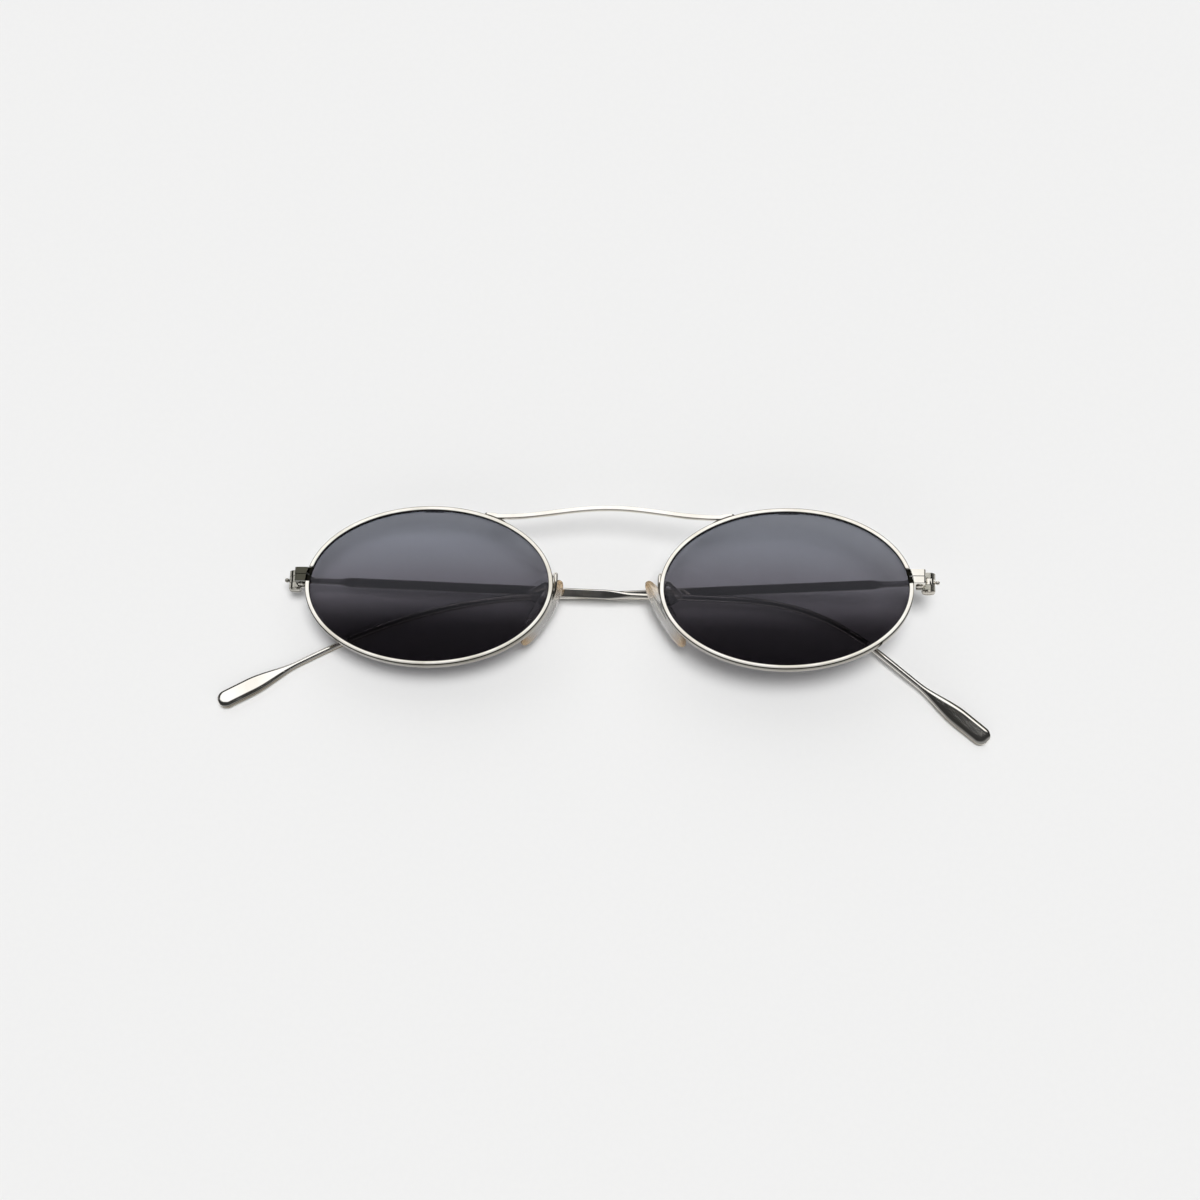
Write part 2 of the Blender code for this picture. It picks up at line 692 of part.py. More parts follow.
def make_temple(side, label, pivot, route):
    """One metal temple: narrow neck, flat bar, round wire round the ear, and a flattened solid end."""
    fine, position, tangent, inward = route
    distance = temple_stations()
    nearest = np.searchsorted(fine, distance).clip(0, len(fine) - 1)
    centre = position[nearest]
    forward = tangent[nearest]
    inside = inward[nearest]
    across = np.cross(inside, forward)
    half_height = blend(distance, [
        (0.0, NECK_HALF_HEIGHT),
        (NECK_END, NECK_HALF_HEIGHT),
        (BAR_START, BAR_HALF_HEIGHT),
        (BAR_END, BAR_HALF_HEIGHT),
        (WIRE_START, WIRE_RADIUS),
        (PADDLE_START, WIRE_RADIUS),
        (PADDLE_FULL, PADDLE_HALF_WIDTH),
    ])
    half_thickness = blend(distance, [
        (0.0, NECK_HALF_THICKNESS),
        (NECK_END, NECK_HALF_THICKNESS),
        (BAR_START, BAR_HALF_THICKNESS),
        (BAR_END, BAR_HALF_THICKNESS),
        (WIRE_START, WIRE_RADIUS),
        (PADDLE_START, WIRE_RADIUS),
        (PADDLE_FULL, PADDLE_HALF_THICKNESS),
    ])
    power = blend(distance, [
        (0.0, BAR_POWER),
        (BAR_END, BAR_POWER),
        (WIRE_START, WIRE_POWER),
        (PADDLE_START, WIRE_POWER),
        (PADDLE_FULL, PADDLE_POWER),
    ])
    past = np.maximum((distance - TEMPLE_LENGTH + PADDLE_HALF_WIDTH) / PADDLE_HALF_WIDTH, 0.0)
    tip = np.sqrt(1.0 - past ** 2)
    half_height = half_height * tip
    lift = np.maximum(half_thickness - WIRE_RADIUS, 0.0)
    half_thickness = half_thickness * tip
    centre = centre + lift[:, None] * inside
    rings = rounded_ring(centre, across, inside, half_height, half_thickness, WIRE_SIDES, power)
    name = f"{label}_temple"
    return place(name, mirrored(loft_mesh(name, rings), side), pivot, parts, silver)


def carried_height(route, fall):
    """Height of the hinge axis above the table when the lowest point of the folded temple lies on it."""
    upward = np.array([math.sin(fall), 0.0, math.cos(fall)])
    return WIRE_RADIUS - (route[1] @ upward).min()


def pad_matrix(side):
    """Frame of a right-hand pad: local Y up the pad, X out to its box, Z along its width to the front."""
    centre = Matrix.Translation((RIM_NOSE_X + PAD_INSET + side * PAD_SHIFT, PAD_Y, -PAD_DEPTH))
    tilt = Matrix.Rotation(PAD_TILT, 4, "Z")
    rake = Matrix.Rotation(PAD_RAKE, 4, "X")
    splay = Matrix.Rotation(PAD_SPLAY, 4, "Y")
    return centre @ tilt @ rake @ splay


def pad_pivot_matrix(side):
    """The same frame moved to the pad screw, which the pad rocks about."""
    reach = PAD_THICKNESS / 2 + LUG_AXIS
    return pad_matrix(side) @ Matrix.Translation((reach, PAD_LUG_RISE, 0.0))


def mirrored_frame(matrix, side):
    """The frame of the other side's piece, kept right-handed."""
    if side > 0:
        return matrix
    flip = Matrix.Diagonal((-1.0, 1.0, 1.0, 1.0))
    return flip @ matrix @ flip


def make_nose_pad(side, label, pivot):
    """Clear oval pad with a small lug on its back that the pad screw passes through."""
    name = f"{label}_nose_pad"
    bm = bmesh.new()
    bmesh.ops.create_uvsphere(bm, u_segments=PAD_SIDES, v_segments=PAD_SIDES // 2, radius=1.0)
    for vert in bm.verts:
        x, y, z = vert.co
        flat = math.copysign(abs(x) ** PAD_FLATNESS, x)
        vert.co = (flat * PAD_THICKNESS / 2, y * PAD_LENGTH / 2, z * PAD_WIDTH / 2)
    shift = Vector((-PAD_THICKNESS / 2 - LUG_AXIS, -PAD_LUG_RISE, 0.0))
    bmesh.ops.translate(bm, vec=shift, verts=bm.verts)
    pad = place(name, from_bmesh(name, bm, side), pivot, parts, clear_pad)
    lug = box_bmesh(
        (-LUG_AXIS - PAD_THICKNESS / 3, -LUG_WIDTH / 2, -LUG_THICKNESS / 2),
        (LUG_REACH - LUG_AXIS, LUG_WIDTH / 2, LUG_THICKNESS / 2),
    )
    boolean(pad, from_bmesh(f"{name}_lug", lug, side), "UNION", pivot)
    hole = cylinder_bmesh(PAD_SCREW_RADIUS + PIN_CLEARANCE, (0.0, 0.0, -LUG_WIDTH), (0.0, 0.0, LUG_WIDTH))
    boolean(pad, from_bmesh(f"{name}_hole", hole, side), "DIFFERENCE", pivot)
    return pad


def box_outer():
    """Distance from the pad screw out to the back of the pad box."""
    return LUG_REACH - LUG_AXIS + BOX_PLAY + BOX_FLOOR


def make_pad_box(side, label, mount):
    """Small channel that holds the pad's lug between two cheeks."""
    name = f"{label}_pad_box"
    inner = LUG_THICKNESS / 2 + BOX_PLAY
    body = box_bmesh(
        (-LUG_AXIS + BOX_LIFT, -BOX_HALF_LENGTH, -inner - CHEEK_THICKNESS),
        (box_outer(), BOX_HALF_LENGTH, inner + CHEEK_THICKNESS),
    )
    pad_box = place(name, from_bmesh(name, body, side), mount, parts, silver)
    slot = box_bmesh(
        (-LUG_AXIS, -BOX_HALF_LENGTH - RIM_FACE, -inner),
        (LUG_REACH - LUG_AXIS + BOX_PLAY, BOX_HALF_LENGTH + RIM_FACE, inner),
    )
    boolean(pad_box, from_bmesh(f"{name}_slot", slot, side), "DIFFERENCE", mount)
    hole = cylinder_bmesh(PAD_SCREW_RADIUS + PIN_CLEARANCE, (0.0, 0.0, -LUG_WIDTH), (0.0, 0.0, LUG_WIDTH))
    boolean(pad_box, from_bmesh(f"{name}_hole", hole, side), "DIFFERENCE", mount)
    return pad_box


def make_pad_screw(side, label, mount):
    """Screw through the pad box and the pad's lug."""
    outer = LUG_THICKNESS / 2 + BOX_PLAY + CHEEK_THICKNESS
    return make_screw(
        f"{label}_pad_screw",
        mount,
        Matrix.Translation((0.0, 0.0, outer + SEAT)),
        PAD_SCREW_RADIUS,
        2 * outer,
        PAD_HEAD_RADIUS,
        PAD_HEAD_HEIGHT,
        side,
        PAD_SLOT,
    )


def arm_points(side):
    """Route of a pad arm on the right: up the back of the eyewire, a tight turn, and out to the pad box."""
    seat_x = LENS_SPACING - rim_edge_x(ARM_FOOT_Y, RIM_FACE)
    foot = Vector((seat_x + RIM_FACE / 2, ARM_FOOT_Y, -RIM_DEPTH - ARM_RADIUS - SEAT))
    pivot = pad_pivot_matrix(side)
    box_back = pivot @ Vector((box_outer() + 2 * SEAT, 0.0, 0.0))
    box_stub = pivot @ Vector((box_outer() + 2 * SEAT + ARM_RADIUS, 0.0, 0.0))
    box_lead = pivot @ Vector((box_outer() + ARM_TURN, 0.0, ARM_TURN))
    rise_x = LENS_SPACING - rim_edge_x(0.0, RIM_FACE)
    guides = [
        foot,
        Vector((rise_x - SEAT, 0.0, -RIM_DEPTH - ARM_RADIUS - SEAT)),
        Vector((rise_x - ARM_RADIUS / 2, ARM_TOP_Y - ARM_TURN, -RIM_DEPTH - ARM_RADIUS)),
        Vector((rise_x, ARM_TOP_Y, -RIM_DEPTH - ARM_TURN)),
        Vector((rise_x + ARM_TURN, ARM_TOP_Y - ARM_TURN, -RIM_DEPTH - 2 * ARM_TURN)),
        box_lead,
        box_stub,
        box_back,
    ]
    return guides


def smooth_route(guides, per_span):
    """A Catmull-Rom curve through the guide points, as a list of points."""
    points = np.array([list(g) for g in guides])
    padded = np.vstack([2 * points[0] - points[1], points, 2 * points[-1] - points[-2]])
    before, start, end, after = padded[:-3], padded[1:-2], padded[2:-1], padded[3:]
    t = np.linspace(0.0, 1.0, per_span, endpoint=False)[None, :, None]
    before, start, end, after = (p[:, None, :] for p in (before, start, end, after))
    route = 0.5 * (
        2 * start
        + (end - before) * t
        + (2 * before - 5 * start + 4 * end - after) * t ** 2
        + (3 * start - before - 3 * end + after) * t ** 3
    )
    return np.vstack([route.reshape(-1, 3), points[-1:]]).tolist()


def make_pad_arm(side, label):
    """Round wire from the back of the eyewire to the pad box."""
    route = smooth_route(arm_points(side), ARM_SPAN_STEPS)
    mesh = path_curve(f"{label}_pad_arm_wire", route, radius=ARM_RADIUS)
    return place(f"{label}_pad_arm", mirrored(mesh, side), front, parts, silver)


def make_front_side(side, label):
    make_rim(side, label)
    make_lens(side, label)
    split = block_split(side)
    make_block_half(side, label, "lower", block_low(side), split - BLOCK_SPLIT / 2)
    make_block_half(side, label, "upper", split + BLOCK_SPLIT / 2, block_high(side))
    make_lock_screw(side, label)
    make_front_hinge(side, label)
    make_hinge_screw(side, label)
    make_pad_arm(side, label)


def make_pad_side(side, label):
    frame = mirrored_frame(pad_pivot_matrix(side), side)
    pivot = empty(f"{label}_pad_axis", front)
    pivot.matrix_local = frame
    make_pad_box(side, label, pivot)
    make_pad_screw(side, label, pivot)
    make_nose_pad(side, label, pivot)


def make_temple_side(side, label, route, fold):
    pivot = empty(
        f"{label}_hinge_axis",
        front,
        (side * HINGE_X, hinge_height(side), -HINGE_DEPTH),
        (0.0, -side * fold, 0.0),
    )
    make_temple_hinge(side, label, pivot)
    make_bead(side, label, pivot)
    make_temple(side, label, pivot, route)


def centre_on_table(origin):
    """Moves the whole model so that the middle of its box is over the origin and its lowest point at Z = 0."""
    bpy.context.view_layer.update()
    depsgraph = bpy.context.evaluated_depsgraph_get()
    low = np.full(3, np.inf)
    high = np.full(3, -np.inf)
    for obj in parts.objects:
        if obj.type != "MESH":
            continue
        mesh = obj.evaluated_get(depsgraph).data
        points = np.empty(len(mesh.vertices) * 3, dtype=np.float32)
        mesh.vertices.foreach_get("co", points)
        world = np.array(obj.matrix_world)
        points = points.reshape(-1, 3) @ world[:3, :3].T + world[:3, 3]
        low = np.minimum(low, points.min(axis=0))
        high = np.maximum(high, points.max(axis=0))
    middle = (low + high) / 2
    origin.location = (-middle[0], -middle[1], -low[2])
    bpy.context.view_layer.update()


clear_scene()
parts = new_collection(PARTS)
cutters = new_collection(CUTTERS)
silver = make_material("polished_silver", (0.83, 0.81, 0.77), 0.12, 1.0)
screw_steel = make_material("screw_steel", (0.66, 0.65, 0.62), 0.25, 1.0)
smoke = make_material("smoke_lens", (0.03, 0.03, 0.035), 0.05, 0.0, 0.35)
clear_pad = make_material("clear_pad", (0.86, 0.83, 0.78), 0.15, 0.0, 0.8)

left_route = temple_path(
    LEFT_RUN_SLOPE,
    LEFT_BOW_PLACE,
    LEFT_BOW_ANGLE,
    LEFT_BEND_START,
    LEFT_BEND_LENGTH,
    LEFT_BEND_ANGLE,
)
right_route = temple_path(
    RIGHT_RUN_SLOPE,
    RIGHT_BOW_PLACE,
    RIGHT_BOW_ANGLE,
    RIGHT_BEND_START,
    RIGHT_BEND_LENGTH,
    RIGHT_BEND_ANGLE,
)
left_height = carried_height(left_route, LEFT_FALL)
right_height = carried_height(right_route, RIGHT_FALL)
roll = math.asin((left_height - right_height) / (2 * HINGE_X))
front_height = (left_height + right_height) / 2 + HINGE_DEPTH * math.cos(roll)

origin = empty("origin", None)
front = empty("front_frame", origin, (0.0, 0.0, front_height), (0.0, roll, 0.0))
make_bridge()
for side, label in ((-1, "left"), (1, "right")):
    make_front_side(side, label)
    make_pad_side(side, label)
make_temple_side(-1, "left", left_route, LEFT_FALL - roll)
make_temple_side(1, "right", right_route, RIGHT_FALL + roll)
centre_on_table(origin)
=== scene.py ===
"""Oval wire-rim sunglasses, folded, lying face up on a pale table.

The front is drawn flat in its own frame (across, up the lenses, out of them), which the hinge pins and the
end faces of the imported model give, and is then turned to where it lies.
"""

import json
import math

import bmesh
import bpy
import numpy as np
from mathutils import Matrix


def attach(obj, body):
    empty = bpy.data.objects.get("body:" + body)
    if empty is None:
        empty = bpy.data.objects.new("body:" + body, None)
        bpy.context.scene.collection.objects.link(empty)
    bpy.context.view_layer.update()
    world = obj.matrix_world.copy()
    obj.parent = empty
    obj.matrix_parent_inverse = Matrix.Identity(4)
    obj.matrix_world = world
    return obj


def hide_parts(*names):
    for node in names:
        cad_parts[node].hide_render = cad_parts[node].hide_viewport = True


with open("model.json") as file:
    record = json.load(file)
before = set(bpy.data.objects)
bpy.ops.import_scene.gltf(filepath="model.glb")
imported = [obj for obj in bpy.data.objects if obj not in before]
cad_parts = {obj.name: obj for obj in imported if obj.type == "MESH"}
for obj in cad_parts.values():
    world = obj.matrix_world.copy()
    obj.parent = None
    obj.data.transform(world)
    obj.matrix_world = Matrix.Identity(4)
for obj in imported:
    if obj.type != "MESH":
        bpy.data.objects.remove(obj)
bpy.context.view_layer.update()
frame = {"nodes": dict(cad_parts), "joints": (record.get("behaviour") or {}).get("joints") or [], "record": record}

# The eyewires: each is one drawn silver wire with a groove for the lens, bent to an oval and closed at its
# outer end. Its front face is slightly crowned, its corners are rounded, and it is filed down where its
# closing block is let in.
LENS_OPENING_WIDTH = 0.0482
LENS_OPENING_HEIGHT = 0.0313
LENS_SPACING = 0.07108
RIM_FACE = 0.00085
RIM_DEPTH = 0.0021
RIM_CORNER = 0.00017
RIM_CROWN = 0.000006
RIM_SPLIT_GAP = 0.00030
RIM_STEPS = 720
GROOVE_CENTRE = 0.00125
GROOVE_HALF = 0.00050
GROOVE_DEPTH = 0.00035
NOTCH_DEPTH = 0.0006
NOTCH_RAMP = 0.00012
BLOCK_BOTTOM_Y = 0.0010
BLOCK_TOP_Y = 0.0038
END_PIECE_SKEW = 0.00027
HINGE_RISE = 0.0024
HINGE_DEPTH = 0.0050
SHARP_EDGE = math.radians(50.0)
SAME_POINT = 0.0000005
# Tones of painted shade and painted reflection, by a piece's share of it: tan where a wall mirrors the shaded
# table, dark olive and black along edges that mirror dark and in shaded recesses.
PAINTED_SHADE_TONES = (
    (0.0, (1.0, 1.0, 1.0)),
    (0.5, (0.56, 0.52, 0.45)),
    (0.9, (0.060, 0.058, 0.042)),
    (1.0, (0.010, 0.010, 0.008)),
)
SMUDGE_SCALE = 420.0
SMUDGE_RANGE = (0.35, 0.70)
TARNISH_SCALE = 150.0
TARNISH_FULL = 0.35
TARNISH_NONE = 0.62
HAIRLINE_SCALE = 2600.0
HAIRLINE_STRETCH = (1.0, 9.0, 9.0)
HAIRLINE_TURN = (0.3, 0.2, 0.5)
HAIRLINE_STRENGTH = 0.035
POLISH_SCALE = 330.0
POLISH_STRENGTH = 0.3
POLISH_WAVE = 0.000012
POLISHED_SCRATCH = 0.000001
SATIN_SCRATCH = 0.000003

pins = {joint["name"]: np.array(joint["pos_m"]) for joint in frame["joints"]}
out = np.array(frame["record"]["mounts"][0]["axis"])
up = np.array((0.0, 1.0, 0.0))
across = np.cross(up, out)
middle = (pins["left_temple_fold"] + pins["right_temple_fold"]) / 2 - HINGE_RISE * up + HINGE_DEPTH * out


def from_front(points):
    """middle + x times the way across, y times the way up and z times the way out of the front."""
    return middle + points[..., :1] * across + points[..., 1:2] * up + points[..., 2:] * out


def smooth_step(t):
    """t squared times (3 - 2t), held at 0 below t = 0 and at 1 above t = 1."""
    t = np.clip(t, 0.0, 1.0)
    return t * t * (3.0 - 2.0 * t)


def skin(name, rings, body, finish, slot, *nodes, painted_shade=None):
    """A closed surface over rings of points (rings by points by 3), each end closed by a flat face.

    Rings that shrink to one point are welded, so that a pole is one vertex. The last, keyword argument gives each
    point its share of painted shade and painted reflection, which its finish darkens it by.
    """
    count, sides, _ = rings.shape
    row = np.arange(count - 1)[:, None] * sides
    here = np.arange(sides)[None, :]
    there = (here + 1) % sides
    quads = np.stack([row + here, row + there, row + sides + there, row + sides + here], axis=-1)
    faces = quads.reshape(-1, 4).tolist()
    faces.append(list(range(sides - 1, -1, -1)))
    faces.append(list(range((count - 1) * sides, count * sides)))
    mesh = bpy.data.meshes.new(name)
    mesh.from_pydata(rings.reshape(-1, 3).tolist(), [], faces)
    if painted_shade is not None:
        layer = mesh.attributes.new("painted_shade", "FLOAT", "POINT")
        layer.data.foreach_set("value", np.broadcast_to(painted_shade, (count, sides)).ravel().astype(np.float32))
    shell = bmesh.new()
    shell.from_mesh(mesh)
    bmesh.ops.remove_doubles(shell, verts=shell.verts, dist=SAME_POINT)
    bmesh.ops.recalc_face_normals(shell, faces=shell.faces)
    shell.to_mesh(mesh)
    shell.free()
    mesh.shade_smooth()
    mesh.set_sharp_from_angle(angle=SHARP_EDGE)
    mesh.materials.append(finish)
    piece = bpy.data.objects.new(name, mesh)
    bpy.context.scene.collection.objects.link(piece)
    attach(piece, body)
    if nodes:
        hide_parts(*nodes)
    return piece


def new_node(tree, kind, **values):
    """A node of that kind with its sockets set by name."""
    node = tree.nodes.new(kind)
    for socket, value in values.items():
        node.inputs[socket.replace("_", " ")].default_value = value
    return node


def noise(tree, place, **values):
    """Noise at a place on the piece."""
    node = new_node(tree, "ShaderNodeTexNoise", **values)
    tree.links.new(place, node.inputs["Vector"])
    return node.outputs["Fac"]


def spread(tree, value, low, high, first=0.0, last=1.0):
    """A socket's values from low to high, spread evenly from first to last and held there beyond."""
    node = new_node(tree, "ShaderNodeMapRange", From_Min=low, From_Max=high, To_Min=first, To_Max=last)
    tree.links.new(value, node.inputs["Value"])
    return node.outputs["Result"]


def shades(tree, value, *stops, curve="LINEAR"):
    """A socket's values turned to colours, blended between stops of (value, colour)."""
    node = tree.nodes.new("ShaderNodeValToRGB")
    colours = node.color_ramp
    colours.interpolation = curve
    for end, (at, colour) in ((0, stops[0]), (1, stops[-1])):
        colours.elements[end].position = at
        colours.elements[end].color = (*colour, 1.0)
    for at, colour in stops[1:-1]:
        colours.elements.new(at).color = (*colour, 1.0)
    tree.links.new(value, node.inputs["Fac"])
    return node.outputs["Color"]


def bumps(tree, height, strength, depth):
    """A bump node over a socket of heights."""
    node = new_node(tree, "ShaderNodeBump", Strength=strength, Distance=depth)
    tree.links.new(height, node.inputs["Height"])
    return node


def silver_finish(name, light, tarnish, smooth, smudged, scratch_depth):
    """Polished plating: soft smudges in its roughness, faint tarnish, wavy polish and hairline scratches.

    Painted shade and painted reflection, where the piece has a share of them in its attribute, darken it towards
    tan, olive and black.
    """
    material = bpy.data.materials.new(name)
    material.use_nodes = True
    tree = material.node_tree
    shader = tree.nodes["Principled BSDF"]
    shader.inputs["Metallic"].default_value = 1.0
    place = tree.nodes.new("ShaderNodeTexCoord").outputs["Object"]
    smudges = noise(tree, place, Scale=SMUDGE_SCALE, Detail=4.0, Roughness=0.62)
    tree.links.new(spread(tree, smudges, *SMUDGE_RANGE, smooth, smudged), shader.inputs["Roughness"])
    patches = noise(tree, place, Scale=TARNISH_SCALE, Detail=3.0)
    shade_share = tree.nodes.new("ShaderNodeAttribute")
    shade_share.attribute_name = "painted_shade"
    toned_and_shaded = tree.nodes.new("ShaderNodeMix")
    toned_and_shaded.data_type = "RGBA"
    toned_and_shaded.blend_type = "MULTIPLY"
    toned_and_shaded.inputs["Factor"].default_value = 1.0
    tree.links.new(shades(tree, patches, (TARNISH_FULL, tarnish), (TARNISH_NONE, light)), toned_and_shaded.inputs[6])
    tree.links.new(shades(tree, shade_share.outputs["Fac"], *PAINTED_SHADE_TONES), toned_and_shaded.inputs[7])
    tree.links.new(toned_and_shaded.outputs[2], shader.inputs["Base Color"])
    stretch = new_node(tree, "ShaderNodeMapping", Scale=HAIRLINE_STRETCH, Rotation=HAIRLINE_TURN)
    tree.links.new(place, stretch.inputs["Vector"])
    hairlines = noise(tree, stretch.outputs["Vector"], Scale=HAIRLINE_SCALE, Detail=2.0)
    scratch = bumps(tree, hairlines, HAIRLINE_STRENGTH, scratch_depth)
    wave = bumps(tree, noise(tree, place, Scale=POLISH_SCALE, Detail=1.0), POLISH_STRENGTH, POLISH_WAVE)
    tree.links.new(scratch.outputs["Normal"], wave.inputs["Normal"])
    tree.links.new(wave.outputs["Normal"], shader.inputs["Normal"])
    return material


polished_silver = silver_finish(
    "polished_silver_plate", (0.91, 0.89, 0.845), (0.84, 0.805, 0.735), 0.008, 0.028, POLISHED_SCRATCH
)


def rounded_outline(corners, radii, per_corner=5):
    """A closed outline through corners, each one cut back by its radius and bridged by a quadratic curve."""
    corners = np.array(corners, dtype=float)
    radii = np.array(radii, dtype=float)[:, None]
    before = np.roll(corners, 1, axis=0) - corners
    after = np.roll(corners, -1, axis=0) - corners
    before /= np.linalg.norm(before, axis=1, keepdims=True)
    after /= np.linalg.norm(after, axis=1, keepdims=True)
    start = corners + before * radii
    end = corners + after * radii
    t = np.linspace(0.0, 1.0, per_corner)[None, :, None]
    curve = start[:, None] * (1 - t) ** 2 + 2 * corners[:, None] * t * (1 - t) + end[:, None] * t ** 2
    return curve.reshape(-1, 2)


def rim_outline():
    """Section of the wire: distance out from the opening, and height above the front plane (below 0)."""
    back = -RIM_DEPTH
    corners = [
        (0.0, 0.0),
        (RIM_FACE / 2, RIM_CROWN),
        (RIM_FACE, 0.0),
        (RIM_FACE, back),
        (0.0, back),
        (0.0, -GROOVE_CENTRE - GROOVE_HALF),
        (GROOVE_DEPTH, -GROOVE_CENTRE),
        (0.0, -GROOVE_CENTRE + GROOVE_HALF),
    ]
    half = RIM_CORNER / 2
    radii = [half, RIM_FACE / 4, RIM_CORNER, RIM_CORNER, half, half / 4, half / 2, half / 4]
    outline = rounded_outline(corners, radii)
    outline[:, 1] -= RIM_CROWN
    return outline


# Painted shade and painted reflection along the section, five points to each of its corners: inner front corner,
# unshaded face, outer front corner, outer back corner, inner back corner, and the three corners of the groove. The
# corners mirror dark and the outer wall mirrors the shaded table.
RIM_PAINTED_SHADE = np.array([
    *(1.0, 1.0, 0.9, 0.5, 0.0),
    *(0.0, 0.0, 0.0, 0.0, 0.0),
    *(0.0, 0.6, 0.95, 0.95, 0.8),
    *(0.62, 0.62, 0.62, 0.62, 0.62),
    *(0.8, 0.8, 0.8, 0.8, 0.8),
    *[1.0] * 15,
])


def make_rim(side, label, finish):
    """The section carried round an ellipse along its outward normal, lowered where the block is let in."""
    half_width = LENS_OPENING_WIDTH / 2
    half_height = LENS_OPENING_HEIGHT / 2
    low = BLOCK_BOTTOM_Y + side * END_PIECE_SKEW
    high = BLOCK_TOP_Y + side * END_PIECE_SKEW
    start = math.asin((low + high) / 2 / half_height)
    gap = RIM_SPLIT_GAP / 2 / half_height
    angle = np.linspace(start + gap, start + 2 * math.pi - gap, RIM_STEPS)
    path = np.stack([half_width * np.cos(angle), half_height * np.sin(angle)], axis=-1)
    normal = np.stack([half_height * np.cos(angle), half_width * np.sin(angle)], axis=-1)
    normal /= np.linalg.norm(normal, axis=1, keepdims=True)
    outline = rim_outline()
    plan = path[:, None, :] + normal[:, None, :] * outline[None, :, :1]
    level = np.broadcast_to(outline[None, :, 1], plan.shape[:2])
    let_in = smooth_step((plan[..., 1] - low) / NOTCH_RAMP) * smooth_step((high - plan[..., 1]) / NOTCH_RAMP)
    let_in = let_in * (plan[..., 0] > 0)
    level = level * (1 - let_in) + np.minimum(level, -NOTCH_DEPTH) * let_in
    rings = np.stack([side * (LENS_SPACING / 2 + plan[..., 0]), plan[..., 1], level], axis=-1)
    # The let-in stretch beside the block is darkened fully: a painted shadow in the recess between block and lens.
    painted_shade = np.maximum(RIM_PAINTED_SHADE[None, :], let_in)
    skin(f"{label}_eyewire", from_front(rings), "front", finish, "polished_silver", f"{label}_rim", painted_shade=painted_shade)


# The two eyewires take two copies of one plating, the left one a little darker and beiger: painted reflection, as
# the left side mirrors darker.
beige_silver = silver_finish(
    "beige_silver_plate", (0.86, 0.835, 0.78), (0.68, 0.65, 0.58), 0.012, 0.040, POLISHED_SCRATCH
)
warm_silver = silver_finish(
    "warm_silver_plate", (0.89, 0.865, 0.82), (0.77, 0.735, 0.66), 0.012, 0.040, POLISHED_SCRATCH
)
make_rim(-1, "left", beige_silver)
make_rim(1, "right", warm_silver)

# The lenses: dark smoke-grey moulded discs, lightly domed and polished, sprung into the eyewires' grooves.
# The front edge has a narrow polished bevel. Faint wipe marks break the gloss.
LENS_EDGE = 0.0012
LENS_CROWN = 0.00055
LENS_PLAY = 0.00005
LENS_BEVEL = 0.00018
LENS_STEPS = 256
LENS_RINGS = 48
LENS_INDEX = 1.5
LENS_MIRROR = (0.55, 0.55, 0.61, 1.0)
LENS_ROUGHNESS = (0.0, 0.020)
WIPE_STRETCH = (1.0, 3.5, 1.0)
WIPE_TURN = (0.0, 0.0, 0.6)
WIPE_SCALE = 160.0
WIPE_RANGE = (0.40, 0.75)
CLOUD_SCALE = 40.0
CLOUDINESS = 0.06
# The tint by height up the lens: darker towards the bottom, partly painted shade for the glasses' shadow on the
# table seen through it.
LENS_TINT_AND_SHADE = (
    (0.15, (0.042, 0.037, 0.045)),
    (0.45, (0.079, 0.072, 0.084)),
    (0.60, (0.140, 0.136, 0.155)),
    (0.75, (0.172, 0.176, 0.200)),
    (0.88, (0.204, 0.213, 0.243)),
    (1.00, (0.193, 0.201, 0.228)),
)
LIGHT_LET_THROUGH = ((0.34, (0.0, 0.0, 0.0)), (0.56, (0.90, 0.90, 0.91)))


